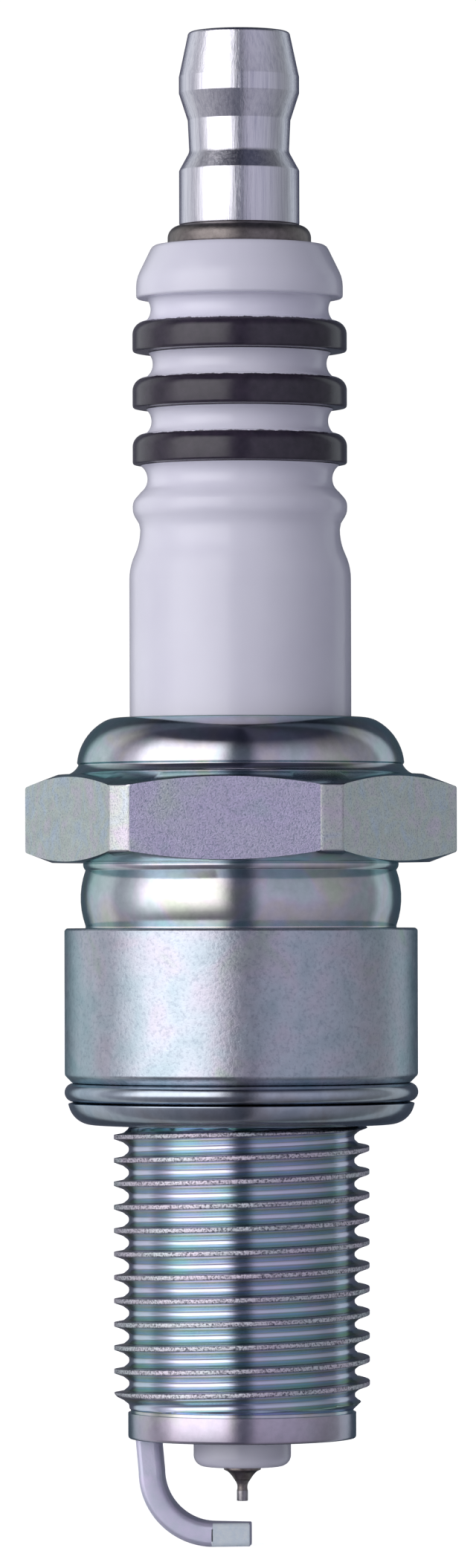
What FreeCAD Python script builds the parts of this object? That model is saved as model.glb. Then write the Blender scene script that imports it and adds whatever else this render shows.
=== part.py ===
import FreeCAD, Part
import math
import os
import re

import Sketcher

# A resistor spark plug with an M14 thread, a 19 mm reach and a screwed-on terminal nut.
# Millimetres. +Z runs from the firing end to the terminal, along the plug's axis.
# The origin is on the axis, in the plane of the gasket's lower face, which seats on the cylinder head.
# The ground electrode stands on the -X side, and two flats of the hexagon face +Y and -Y.

doc = FreeCAD.newDocument("spark_plug")

# Driving dimensions, each measured on its own.
SIZES = {
    # gasket: one steel sheet folded to an S
    "gasket_height": 2.23,
    "gasket_diameter": 18.9,
    "gasket_hole": 13.44,
    "gasket_sheet": 0.3,
    "gasket_roll_height": 0.97,
    "gasket_top_hole": 14.0,
    "gasket_flat_diameter": 15.9,
    "gasket_dish_radius": 1.0,
    "gasket_flare": 50,
    "gasket_lip_diameter": 18.5,
    "gasket_play": 0.02,
    # shell, outside
    "barrel_height": 8.25,
    "barrel_diameter": 18.88,
    "barrel_bevel_height": 0.4,
    "barrel_top_bevel": 0.12,
    "seat_face_diameter": 18.1,
    "buckle_height": 3.5,
    "buckle_wall": 1.17,
    "buckle_bulge_round": 4.4,
    "buckle_groove_height": 0.4,
    "buckle_groove_depth": 0.11,
    "hex_height": 4.7,
    "hex_flats": 20.8,
    "hex_corner_stand": 1.15,
    "hex_top_land": 1.05,
    "hex_bottom_land": 1.68,
    "hex_chamfer": 21,
    "crimp_height": 3.05,
    "crimp_side_wall": 1.5,
    "crimp_neck": 0.4,
    "crimp_round": 2.82,
    "crimp_edge_width": 0.81,
    "crimp_edge_drop": 0.22,
    "crimp_edge_round": 1.6,
    "crimp_lip_width": 0.545,
    "crimp_wall": 0.8,
    # shell, threaded end
    "thread_diameter": 13.8,
    "thread_root_diameter": 12.19,
    "thread_pitch": 1.25,
    "thread_crest_width": 0.17,
    "thread_first_groove": 1.675,
    "thread_reach": 19.0,
    "relief_diameter": 12.1,
    "relief_length": 2.05,
    "pilot_diameter": 12.13,
    "pilot_length": 1.75,
    "pilot_bevel": 0.12,
    # shell, inside
    "shell_bore_depth": 3.5,
    "shell_mid_bore": 9.7,
    "shell_cone_height": 1.7,
    "seat_depth": 5.85,
    "seat_slope": 40,
    "seat_bore": 8.0,
    "seat_land": 2.0,
    "end_bore": 9.6,
    "end_bore_cone": 0.6,
    # insulator, outside
    "body_diameter": 11.85,
    "body_exposed": 25.3,
    "head_face_diameter": 9.3,
    "head_cone_height": 1.8,
    "head_diameter": 11.06,
    "head_length": 2.86,
    "rib_diameter": 11.47,
    "rib_pitch": 3.01,
    "rib_width": 1.65,
    "rib_round": 0.7,
    "rib_edge_round": 0.1,
    "rib_first_depth": 4.08,
    "groove_round": 0.88,
    "groove_1_diameter": 9.96,
    "groove_2_diameter": 9.84,
    "groove_3_diameter": 10.12,
    "groove_4_diameter": 10.8,
    "last_rib_edge_diameter": 10.4,
    "last_rib_drop": 0.75,
    "last_rib_width": 1.35,
    "neck_diameter": 10.68,
    "neck_depth": 15.25,
    "neck_round": 0.9,
    "flare_length": 2.65,
    "flare_round": 3.1,
    # insulator, inside the shell
    "crimp_play": 0.08,
    "shoulder_play": 0.1,
    "shoulder_lift": 1.0,
    "shoulder_top_cone": 1.0,
    "shoulder_height": 7.9,
    "shoulder_bottom_cone": 1.75,
    "mid_diameter": 9.4,
    "nose_root_diameter": 7.5,
    "nose_diameter": 5.2,
    "nose_length": 1.5,
    "nose_round": 0.6,
    "seat_washer_thickness": 0.4,
    # insulator, bores
    "core_bore": 4.0,
    "electrode_bore": 2.56,
    "core_bore_depth": 3.75,
    "core_cone_height": 0.6,
    # packing between insulator and shell
    "packing_space": 1.325,
    "packing_wire_play": 0.0625,
    "crimp_wire": 0.9,
    "packing_play": 0.05,
    # centre electrode and its tip
    "electrode_diameter": 2.5,
    "electrode_head_play": 0.3,
    "electrode_head_height": 2.1,
    "electrode_nose_diameter": 2.1,
    "electrode_nose_recess": 0.3,
    "electrode_nose_length": 0.12,
    "electrode_taper_length": 0.62,
    "copper_diameter": 1.3,
    "copper_length": 14.5,
    "copper_point": 0.8,
    "weld_diameter": 0.84,
    "weld_length": 0.56,
    "tip_diameter": 0.6,
    "tip_length": 0.55,
    # seals and resistor in the core bore
    "core_play": 0.02,
    "core_mouth_bevel": 0.15,
    "lower_seal_height": 3.4,
    "resistor_length": 10.0,
    "upper_seal_height": 5.0,
    # terminal stud and nut
    "stud_flange_diameter": 7.68,
    "stud_flange_height": 1.04,
    "stud_flange_round": 0.35,
    "stud_shank_play": 0.25,
    "stud_seal_gap": 0.8,
    "ridge_pitch": 0.8,
    "ridge_depth": 0.22,
    "ridge_count": 5,
    "ridge_first": 0.6,
    "stud_thread_diameter": 3.96,
    "stud_thread_root": 3.14,
    "stud_thread_pitch": 0.7,
    "stud_crest_width": 0.1,
    "stud_undercut": 0.8,
    "stud_undercut_diameter": 3.06,
    "stud_end_recess": 1.5,
    "stud_end_bevel": 0.4,
    "nut_play": 0.07,
    "nut_seat_play": 0.01,
    "nut_length": 10.4,
    "nut_diameter": 6.44,
    "nut_collar_height": 2.95,
    "nut_waist_bottom": 3.95,
    "nut_waist_bottom_diameter": 5.34,
    "nut_waist_top": 5.65,
    "nut_waist_top_diameter": 5.5,
    "nut_band_bottom": 7.1,
    "nut_band_top": 7.98,
    "nut_top_cone_diameter": 5.5,
    "nut_top_round": 0.22,
    "nut_mouth_bevel": 0.25,
    # ground electrode
    "spark_gap": 1.1,
    "strap_width": 2.6,
    "strap_thickness": 1.3,
    "strap_edge_round": 0.3,
    "strap_outer_radius": 5.63,
    "strap_bend": 3.35,
    "strap_overhang": 0.45,
    "strap_tip_width": 1.5,
    "strap_taper_length": 2.0,
    "strap_trim": 1.0,
}

# Levels and radii that follow from the driving dimensions.
LEVELS = {
    "shell_seat": "gasket_height + gasket_play",
    "barrel_top": "shell_seat + barrel_height",
    "hex_bottom": "barrel_top + buckle_height",
    "hex_top": "hex_bottom + hex_height",
    "shell_top": "hex_top + crimp_height",
    "shell_end": "shell_seat - thread_reach",
    "thread_top": "shell_seat - relief_length",
    "thread_bottom": "shell_end + pilot_length",
    "thread_depth": "(thread_diameter - thread_root_diameter) / 2",
    "thread_groove": "shell_seat - thread_first_groove",
    "bore_bottom": "barrel_top - shell_bore_depth",
    "seat_level": "shell_seat - seat_depth",
    "seat_ledge": "seat_level - (shell_mid_bore - seat_bore) / 2 * tan(seat_slope * 1 deg)",
    "insulator_top": "shell_top + body_exposed",
    "crimp_bore": "body_diameter + 2 * crimp_play",
    "crimp_lip_diameter": "crimp_bore + 2 * crimp_lip_width",
    "crimp_edge_diameter": "crimp_lip_diameter + 2 * crimp_edge_width",
    "shell_wall_bore": "body_diameter + 2 * packing_space",
    "crimp_diameter": "shell_wall_bore + 2 * crimp_side_wall",
    "buckle_diameter": "shell_wall_bore + 2 * buckle_wall",
    "hex_corners": "hex_flats + 2 * hex_corner_stand",
    "hex_top_face": "crimp_diameter + 2 * hex_top_land",
    "hex_bottom_face": "buckle_diameter + 2 * hex_bottom_land",
    "packing_wire": "packing_space - 2 * packing_wire_play",
    "shoulder_diameter": "shell_wall_bore - 2 * shoulder_play",
    "shoulder_bottom": "bore_bottom + shoulder_lift",
    "shoulder_top": "shoulder_bottom + shoulder_height",
    "step_level": "seat_level + seat_washer_thickness / cos(seat_slope * 1 deg)"
                  " - (shell_mid_bore - mid_diameter) / 2 * tan(seat_slope * 1 deg)",
    "step_bottom": "step_level - (mid_diameter - nose_root_diameter) / 2 * tan(seat_slope * 1 deg)",
    "nose_end": "shell_end - nose_length",
    "core_level": "shell_seat - core_bore_depth",
    "electrode_seat": "core_level - core_cone_height",
    "electrode_head_diameter": "core_bore - 2 * electrode_head_play",
    "stud_shank_diameter": "core_bore - 2 * stud_shank_play",
    "electrode_top": "core_level + electrode_head_height",
    "electrode_nose": "nose_end - electrode_nose_length",
    "weld_top": "electrode_nose - electrode_taper_length",
    "tip_top": "weld_top - weld_length",
    "tip_end": "tip_top - tip_length",
    "lower_seal_top": "electrode_top + lower_seal_height",
    "resistor_top": "lower_seal_top + resistor_length",
    "upper_seal_top": "resistor_top + upper_seal_height",
    "stud_end": "resistor_top + stud_seal_gap",
    "nut_bottom": "insulator_top + stud_flange_height",
    "nut_top": "nut_bottom + nut_length",
    "stud_top": "nut_top - stud_end_recess",
    "ring_seat": "shoulder_top + shoulder_top_cone + packing_play",
    "talc_bottom": "ring_seat + packing_wire + packing_play",
    "talc_top": "shell_top - crimp_wall - (shell_wall_bore - crimp_bore) / 2",
    "gasket_bend": "(gasket_height - gasket_roll_height + gasket_sheet) / 2",
    "gasket_fold": "gasket_hole / 2 + gasket_bend",
    "gasket_roll": "gasket_roll_height / 2",
    "gasket_roll_centre": "gasket_diameter / 2 - gasket_roll",
    "strap_top": "tip_end - spark_gap",
    "strap_middle": "strap_outer_radius - strap_thickness / 2",
}

home = {name: "Sizes." for name in SIZES} | {name: "Levels." for name in LEVELS}


def bound(words):
    """An expression with each name led by the sheet that holds it."""
    return re.sub(r"[a-z_][a-z0-9_]*", lambda found: home.get(found[0], "") + found[0], str(words))


def fill_sheet(sheet, cells, as_text):
    for row, (alias, content) in enumerate(cells.items(), start=1):
        sheet.set(f"A{row}", alias.replace("_", " "))
        sheet.set(f"B{row}", as_text(content))
        sheet.setAlias(f"B{row}", alias)


sizes = doc.addObject("Spreadsheet::Sheet", "Sizes")
fill_sheet(sizes, SIZES, str)
levels = doc.addObject("Spreadsheet::Sheet", "Levels")
fill_sheet(levels, LEVELS, lambda words: "=" + bound(words).replace("Levels.", ""))
doc.recompute()


def value(words):
    return float(sizes.evalExpression(bound(words)))


def new_body(label):
    body = doc.addObject("PartDesign::Body", label)
    body.Label = label
    return body


def origin_feature(body, role):
    return next(feature for feature in body.Origin.OriginFeatures if feature.Role == role)


def new_sketch(body, name, plane, lift=None):
    sketch = body.newObject("Sketcher::SketchObject", name)
    sketch.AttachmentSupport = [(origin_feature(body, plane), "")]
    sketch.MapMode = "FlatFace"
    if lift:
        sketch.setExpression(".AttachmentOffset.Base.z", bound(lift))
    return sketch


def arc_between(start, end, radius, side):
    """The shorter arc between two points that turns to one side, and which of its ends is the start."""
    middle = (start + end) / 2
    along = (end - start) / 2
    rise = math.sqrt(max(radius**2 - along.Length**2, 0))
    left = FreeCAD.Vector(-along.y, along.x, 0).normalize()
    centre = middle + left * (rise if side == "left" else -rise)
    first, last = (start, end) if side == "left" else (end, start)
    angles = [math.atan2(point.y - centre.y, point.x - centre.x) for point in (first, last)]
    circle = Part.Circle(centre, FreeCAD.Vector(0, 0, 1), radius)
    return Part.ArcOfCircle(circle, *angles), 1 if side == "left" else 2


def fix_point(sketch, edge, end, axis, words):
    """Ties one coordinate of an edge's end to an expression."""
    kind = {"x": "DistanceX", "y": "DistanceY"}[axis]
    index = sketch.addConstraint(Sketcher.Constraint(kind, -1, 1, edge, end, value(words)))
    if str(words) != "0":
        sketch.setExpression(f"Constraints[{index}]", bound(words))


def draw(sketch, corners, closed=True):
    """Edges through the corners. A corner is (x, y), or (x, y, side, radius) where an arc leads to it."""
    points = [FreeCAD.Vector(value(corner[0]), value(corner[1]), 0) for corner in corners]
    count = len(corners) if closed else len(corners) - 1
    starts = []
    for edge in range(count):
        after = corners[(edge + 1) % len(corners)]
        start, end = points[edge], points[(edge + 1) % len(corners)]
        if len(after) == 4:
            arc, first = arc_between(start, end, value(after[3]), after[2])
            sketch.addGeometry(arc)
            radius = sketch.addConstraint(Sketcher.Constraint("Radius", edge, value(after[3])))
            sketch.setExpression(f"Constraints[{radius}]", bound(after[3]))
        else:
            sketch.addGeometry(Part.LineSegment(start, end))
            first = 1
        starts.append(first)
        fix_point(sketch, edge, first, "x", corners[edge][0])
        fix_point(sketch, edge, first, "y", corners[edge][1])
        if edge:
            sketch.addConstraint(Sketcher.Constraint("Coincident", edge - 1, 3 - starts[edge - 1], edge, first))
    last_end = 3 - starts[-1]
    if closed:
        sketch.addConstraint(Sketcher.Constraint("Coincident", count - 1, last_end, 0, starts[0]))
    else:
        fix_point(sketch, count - 1, last_end, "x", corners[-1][0])
        fix_point(sketch, count - 1, last_end, "y", corners[-1][1])


def revolve(body, corners, name="turned"):
    """Turns an outline of (radius, height) corners a full turn about Z."""
    sketch = new_sketch(body, f"{body.Name}_{name}_outline", "XZ_Plane")
    draw(sketch, corners)
    turned = body.newObject("PartDesign::Revolution", f"{body.Name}_{name}")
    turned.Profile = sketch
    turned.ReferenceAxis = (sketch, ["V_Axis"])
    turned.Angle = 360
    body.Tip = turned
    return turned


def turned_body(label, corners):
    body = new_body(label)
    revolve(body, corners)
    return body


def cut_thread(body, crest, root, pitch, crest_width, start, depth):
    """A right-handed 60 degree groove that winds down from the start level."""
    overhang = "0.05"
    sketch = new_sketch(body, f"{body.Name}_groove_outline", "XZ_Plane")
    flank = "tan(30 deg)"
    mouth = f"({pitch} - {crest_width}) / 2"
    outer = f"({mouth} + {overhang} * {flank})"
    inner = f"({mouth} - ({crest} - {root}) / 2 * {flank})"
    draw(sketch, [
        (f"{root} / 2", f"{start} - {inner}"),
        (f"{crest} / 2 + {overhang}", f"{start} - {outer}"),
        (f"{crest} / 2 + {overhang}", f"{start} + {outer}"),
        (f"{root} / 2", f"{start} + {inner}"),
    ])
    helix = body.newObject("PartDesign::SubtractiveHelix", f"{body.Name}_thread")
    helix.Profile = sketch
    helix.ReferenceAxis = (sketch, ["V_Axis"])
    helix.Mode = "pitch-height-angle"
    helix.setExpression("Pitch", bound(pitch))
    helix.setExpression("Height", bound(depth))
    helix.Angle = 0
    helix.LeftHanded = False
    helix.Reversed = True
    body.Tip = helix


def new_cylinder(label, diameter, bottom, top):
    cylinder = doc.addObject("Part::Cylinder", label)
    cylinder.Label = label
    cylinder.setExpression("Radius", bound(f"({diameter}) / 2"))
    cylinder.setExpression("Height", bound(f"({top}) - ({bottom})"))
    cylinder.setExpression(".Placement.Base.z", bound(bottom))
    return cylinder


def new_ring(label, wire, centre_diameter, level):
    ring = doc.addObject("Part::Torus", label)
    ring.Label = label
    ring.setExpression("Radius1", bound(f"({centre_diameter}) / 2"))
    ring.setExpression("Radius2", bound(f"({wire}) / 2"))
    ring.setExpression(".Placement.Base.z", bound(level))
    return ring


def make_shell():
    """Forged steel: crimp, hexagon, buckle, barrel, relief, thread and pilot around stepped bores."""
    body = new_body("shell")
    top_rise = "(hex_corners - hex_top_face) / 2 * tan(hex_chamfer * 1 deg)"
    bottom_rise = "(hex_corners - hex_bottom_face) / 2 * tan(hex_chamfer * 1 deg)"
    buckle_inner = "buckle_diameter / 2 - buckle_groove_depth"
    revolve(body, [
        ("crimp_bore / 2", "shell_top"),
        ("crimp_lip_diameter / 2", "shell_top"),
        ("crimp_edge_diameter / 2", "shell_top - crimp_edge_drop", "right", "crimp_edge_round"),
        ("crimp_diameter / 2", "hex_top + crimp_neck", "right", "crimp_round"),
        ("crimp_diameter / 2", "hex_top"),
        ("hex_top_face / 2", "hex_top"),
        ("hex_corners / 2", f"hex_top - {top_rise}"),
        ("hex_corners / 2", f"hex_bottom + {bottom_rise}"),
        ("hex_bottom_face / 2", "hex_bottom"),
        ("buckle_diameter / 2", "hex_bottom"),
        (buckle_inner, "hex_bottom - buckle_groove_height", "right", "buckle_groove_height"),
        (buckle_inner, "barrel_top + barrel_top_bevel", "right", "buckle_bulge_round"),
        (buckle_inner, "barrel_top"),
        ("barrel_diameter / 2 - barrel_top_bevel", "barrel_top"),
        ("barrel_diameter / 2", "barrel_top - barrel_top_bevel"),
        ("barrel_diameter / 2", "shell_seat + barrel_bevel_height"),
        ("seat_face_diameter / 2", "shell_seat"),
        ("relief_diameter / 2", "shell_seat"),
        ("relief_diameter / 2", "thread_top"),
        ("thread_diameter / 2", "thread_top - thread_depth"),
        ("thread_diameter / 2", "thread_bottom + thread_depth"),
        ("pilot_diameter / 2", "thread_bottom"),
        ("pilot_diameter / 2", "shell_end + pilot_bevel"),
        ("pilot_diameter / 2 - pilot_bevel", "shell_end"),
        ("end_bore / 2", "shell_end"),
        ("end_bore / 2", "seat_ledge - seat_land - end_bore_cone"),
        ("seat_bore / 2", "seat_ledge - seat_land"),
        ("seat_bore / 2", "seat_ledge"),
        ("shell_mid_bore / 2", "seat_level"),
        ("shell_mid_bore / 2", "bore_bottom - shell_cone_height"),
        ("shell_wall_bore / 2", "bore_bottom"),
        ("shell_wall_bore / 2", "talc_top"),
        ("crimp_bore / 2", "shell_top - crimp_wall", "left", "(shell_wall_bore - crimp_bore) / 2"),
    ])
    side = new_sketch(body, "hex_side_outline", "XY_Plane")
    draw(side, [
        ("-hex_corners / 2", "hex_flats / 2"),
        ("hex_corners / 2", "hex_flats / 2"),
        ("hex_corners / 2", "hex_corners / 2"),
        ("-hex_corners / 2", "hex_corners / 2"),
    ])
    flat = body.newObject("PartDesign::Pocket", "hex_side")
    flat.Profile = side
    flat.Type = "ThroughAll"
    flat.Reversed = True
    sides = body.newObject("PartDesign::PolarPattern", "hex_sides")
    sides.Originals = [flat]
    sides.Axis = (origin_feature(body, "Z_Axis"), [""])
    sides.Angle = 360
    sides.Occurrences = 6
    body.Tip = sides
    run = "thread_groove - thread_bottom + thread_pitch / 2"
    cut_thread(body, "thread_diameter", "thread_root_diameter", "thread_pitch", "thread_crest_width",
               "thread_groove", run)


def make_gasket():
    """One sheet folded to an S: a top layer rolled at its rim, a middle layer, and a dished bottom."""
    sheet = "gasket_sheet"
    run = "gasket_dish_radius * sin(gasket_flare * 1 deg)"
    climb = "gasket_dish_radius * (1 - cos(gasket_flare * 1 deg))"
    dish = f"gasket_flat_diameter / 2 + {run}"
    lip = "gasket_lip_diameter / 2"
    lip_level = f"{climb} + ({lip} - ({dish})) * tan(gasket_flare * 1 deg)"
    inward = f"{sheet} * sin(gasket_flare * 1 deg)"
    upward = f"{sheet} * cos(gasket_flare * 1 deg)"
    roll_level = "gasket_height - gasket_roll"
    turned_body("gasket", [
        ("gasket_fold", "0", "left", "gasket_bend"),
        ("gasket_flat_diameter / 2", "0"),
        (dish, climb, "left", "gasket_dish_radius"),
        (lip, lip_level),
        (f"{lip} - {inward}", f"{lip_level} + {upward}"),
        (f"{dish} - {inward}", f"{climb} + {upward}"),
        ("gasket_flat_diameter / 2", sheet, "right", f"gasket_dish_radius - {sheet}"),
        ("gasket_fold", sheet),
        (f"gasket_fold - gasket_bend + {sheet}", "gasket_bend", "right", f"gasket_bend - {sheet}"),
        ("gasket_fold", f"2 * gasket_bend - {sheet}", "right", f"gasket_bend - {sheet}"),
        ("gasket_roll_centre", f"2 * gasket_bend - {sheet}"),
        ("gasket_roll_centre + gasket_roll", roll_level, "left", "gasket_roll"),
        ("gasket_roll_centre", "gasket_height", "left", "gasket_roll"),
        ("gasket_top_hole / 2", "gasket_height"),
        ("gasket_top_hole / 2", f"gasket_height - {sheet}"),
        ("gasket_roll_centre", f"gasket_height - {sheet}"),
        (f"gasket_roll_centre + gasket_roll - {sheet}", roll_level, "right", f"gasket_roll - {sheet}"),
        ("gasket_roll_centre", "2 * gasket_bend", "right", f"gasket_roll - {sheet}"),
        ("gasket_fold", "2 * gasket_bend"),
        ("gasket_fold - gasket_bend", "gasket_bend", "left", "gasket_bend"),
    ])


def rib_corners(number):
    """A groove and the rib below it: rounded on its upper edge, square on its underside."""
    top = f"(insulator_top - rib_first_depth - {number - 1} * rib_pitch)"
    underside = f"({top} + rib_pitch - rib_width)" if number > 1 else "(insulator_top - head_length)"
    edge = "rib_diameter / 2 - rib_edge_round"
    return [
        (f"groove_{number}_diameter / 2", underside),
        ("rib_diameter / 2 - rib_round", top, "left", "groove_round"),
        ("rib_diameter / 2", f"{top} - rib_round", "right", "rib_round"),
        ("rib_diameter / 2", f"{top} - rib_width + rib_edge_round"),
        (edge, f"{top} - rib_width", "right", "rib_edge_round"),
    ]


def make_insulator():
    """Glazed alumina: ribbed head, shoulder in the shell, step on the seat washer, tapered nose, stepped bore."""
    last_top = "(insulator_top - rib_first_depth - 3 * rib_pitch)"
    neck = "(insulator_top - neck_depth)"
    turned_body("insulator", [
        ("core_bore / 2 + core_mouth_bevel", "insulator_top"),
        ("head_face_diameter / 2", "insulator_top"),
        ("head_diameter / 2", "insulator_top - head_cone_height"),
        ("head_diameter / 2", "insulator_top - head_length + rib_edge_round"),
        ("head_diameter / 2 - rib_edge_round", "insulator_top - head_length", "right", "rib_edge_round"),
        *rib_corners(1),
        *rib_corners(2),
        *rib_corners(3),
        ("groove_4_diameter / 2", f"{last_top} + rib_pitch - rib_width"),
        ("last_rib_edge_diameter / 2", last_top, "left", "groove_round"),
        ("rib_diameter / 2", f"{last_top} - last_rib_drop", "right", "rib_round"),
        ("rib_diameter / 2", f"{last_top} - last_rib_width"),
        ("neck_diameter / 2", neck, "left", "neck_round"),
        ("(neck_diameter + body_diameter) / 4", f"{neck} - flare_length / 2", "left", "flare_round"),
        ("body_diameter / 2", f"{neck} - flare_length", "right", "flare_round"),
        ("body_diameter / 2", "shoulder_top + shoulder_top_cone"),
        ("shoulder_diameter / 2", "shoulder_top"),
        ("shoulder_diameter / 2", "shoulder_bottom"),
        ("mid_diameter / 2", "shoulder_bottom - shoulder_bottom_cone"),
        ("mid_diameter / 2", "step_level"),
        ("nose_root_diameter / 2", "step_bottom"),
        ("nose_diameter / 2", "shell_end"),
        ("nose_diameter / 2", "nose_end + nose_round"),
        ("nose_diameter / 2 - nose_round", "nose_end", "right", "nose_round"),
        ("electrode_bore / 2", "nose_end"),
        ("electrode_bore / 2", "electrode_seat"),
        ("core_bore / 2", "core_level"),
        ("core_bore / 2", "insulator_top - core_mouth_bevel"),
    ])


def make_packing():
    """What fills and seals the space between insulator and shell, from the ledge to the crimp."""
    slope = "tan(seat_slope * 1 deg)"
    inner = "(seat_bore / 2 + packing_play)"
    outer = "(mid_diameter / 2 - packing_play)"
    below = "seat_level + core_play / 2 - (shell_mid_bore / 2 - {}) * " + slope
    above = "step_level - core_play / 2 - (mid_diameter / 2 - {}) * " + slope
    turned_body("seat_washer", [
        (inner, below.format(inner)),
        (inner, above.format(inner)),
        (outer, above.format(outer)),
        (outer, below.format(outer)),
    ])
    ring_diameter = "(shell_wall_bore + body_diameter) / 2"
    new_ring("lower_packing_ring", "packing_wire", ring_diameter, "ring_seat + packing_wire / 2")
    new_ring("upper_packing_ring", "crimp_wire", ring_diameter, "talc_top + packing_play + crimp_wire / 2")
    inside = "body_diameter / 2 + packing_play"
    outside = "shell_wall_bore / 2 - packing_play"
    turned_body("talc_fill", [
        (inside, "talc_bottom"),
        (inside, "talc_top"),
        (outside, "talc_top"),
        (outside, "talc_bottom"),
    ])


def make_centre_electrode():
    """Nickel sheath with a seated head, a copper core open at the head, a weld and a fine tip."""
    turned_body("centre_electrode", [
        ("copper_diameter / 2", "electrode_top"),
        ("electrode_head_diameter / 2", "electrode_top"),
        ("electrode_head_diameter / 2", "core_level"),
        ("electrode_diameter / 2", "electrode_seat"),
        ("electrode_diameter / 2", "nose_end + electrode_nose_recess"),
        ("electrode_nose_diameter / 2", "nose_end"),
        ("electrode_nose_diameter / 2", "electrode_nose"),
        ("weld_diameter / 2", "weld_top"),
        ("0", "weld_top"),
        ("0", "electrode_top - copper_length"),
        ("copper_diameter / 2", "electrode_top - copper_length + copper_point"),
    ])
    turned_body("copper_core", [
        ("0", "electrode_top"),
        ("copper_diameter / 2", "electrode_top"),
        ("copper_diameter / 2", "electrode_top - copper_length + copper_point"),
        ("0", "electrode_top - copper_length"),
    ])
    turned_body("tip_weld", [
        ("0", "weld_top"),
        ("weld_diameter / 2", "weld_top"),
        ("tip_diameter / 2", "tip_top", "left", "weld_length"),
        ("0", "tip_top"),
    ])
    new_cylinder("firing_tip", "tip_diameter", "tip_end", "tip_top")


def make_core_stack(stud):
    """Resistor between two conductive glass seals; the upper one has set around the stud's ridges."""
    filled = "core_bore - 2 * core_play"
    turned_body("lower_glass_seal", [
        ("0", "electrode_top"),
        ("electrode_head_diameter / 2", "electrode_top"),
        ("electrode_head_diameter / 2", "core_level"),
        (f"({filled}) / 2", "core_level"),
        (f"({filled}) / 2", "lower_seal_top"),
        ("0", "lower_seal_top"),
    ])
    new_cylinder("resistor", filled, "lower_seal_top", "resistor_top")
    blank = new_cylinder("upper_seal_blank", filled, "resistor_top", "upper_seal_top")
    seal = doc.addObject("Part::Cut", "upper_glass_seal")
    seal.Label = "upper_glass_seal"
    seal.Base = blank
    seal.Tool = stud


def make_stud():
    """Steel: ridged lower end, shank, flange on the insulator, undercut and M4 thread."""
    body = new_body("terminal_stud")
    thread_depth = "(stud_thread_diameter - stud_thread_root) / 2"
    revolve(body, [
        ("0", "stud_end"),
        ("stud_shank_diameter / 2 - stud_end_bevel", "stud_end"),
        ("stud_shank_diameter / 2", "stud_end + stud_end_bevel"),
        ("stud_shank_diameter / 2", "insulator_top"),
        ("stud_flange_diameter / 2", "insulator_top"),
        ("stud_flange_diameter / 2", "nut_bottom - stud_flange_round"),
        ("stud_flange_diameter / 2 - stud_flange_round", "nut_bottom", "left", "stud_flange_round"),
        ("stud_undercut_diameter / 2", "nut_bottom"),
        ("stud_undercut_diameter / 2", "nut_bottom + stud_undercut"),
        ("stud_thread_diameter / 2", f"nut_bottom + stud_undercut + {thread_depth}"),
        ("stud_thread_diameter / 2", "stud_top - stud_end_bevel"),
        ("stud_thread_diameter / 2 - stud_end_bevel", "stud_top"),
        ("0", "stud_top"),
    ])
    notch = new_sketch(body, "ridge_notch_outline", "XZ_Plane")
    first = "stud_end + stud_end_bevel + ridge_first"
    draw(notch, [
        ("stud_shank_diameter / 2 - ridge_depth", first),
        ("stud_shank_diameter / 2 + ridge_depth", f"{first} - 2 * ridge_depth"),
        ("stud_shank_diameter / 2 + ridge_depth", f"{first} + 2 * ridge_depth"),
    ])
    groove = body.newObject("PartDesign::Groove", "ridge_notch")
    groove.Profile = notch
    groove.ReferenceAxis = (notch, ["V_Axis"])
    groove.Angle = 360
    ridges = body.newObject("PartDesign::LinearPattern", "ridge_notches")
    ridges.Originals = [groove]
    ridges.Direction = (origin_feature(body, "Z_Axis"), [""])
    ridges.setExpression("Length", bound("(ridge_count - 1) * ridge_pitch"))
    ridges.setExpression("Occurrences", bound("ridge_count"))
    body.Tip = ridges
    doc.recompute()
    start = "stud_top + stud_thread_pitch / 2"
    run = "stud_top - nut_bottom - stud_undercut / 2"
    cut_thread(body, "stud_thread_diameter", "stud_thread_root", "stud_thread_pitch", "stud_crest_width",
               start, run)
    return body


def make_nut():
    """Turned aluminium: collar, waist, band and top cone around a tapped through hole."""
    hole = "(stud_thread_diameter / 2 + nut_play)"
    base = "nut_bottom + {}"
    turned_body("terminal_nut", [
        (f"{hole} + nut_mouth_bevel", base.format("nut_seat_play")),
        ("nut_diameter / 2", base.format("nut_seat_play")),
        ("nut_diameter / 2", base.format("nut_collar_height")),
        ("nut_waist_bottom_diameter / 2", base.format("nut_waist_bottom")),
        ("nut_waist_top_diameter / 2", base.format("nut_waist_top")),
        ("nut_diameter / 2", base.format("nut_band_bottom")),
        ("nut_diameter / 2", base.format("nut_band_top")),
        ("nut_top_cone_diameter / 2", "nut_top - nut_top_round"),
        ("nut_top_cone_diameter / 2 - nut_top_round", "nut_top", "left", "nut_top_round"),
        (f"{hole} + nut_mouth_bevel", "nut_top"),
        (hole, "nut_top - nut_mouth_bevel"),
        (hole, "nut_bottom + nut_seat_play + nut_mouth_bevel"),
    ])


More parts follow.
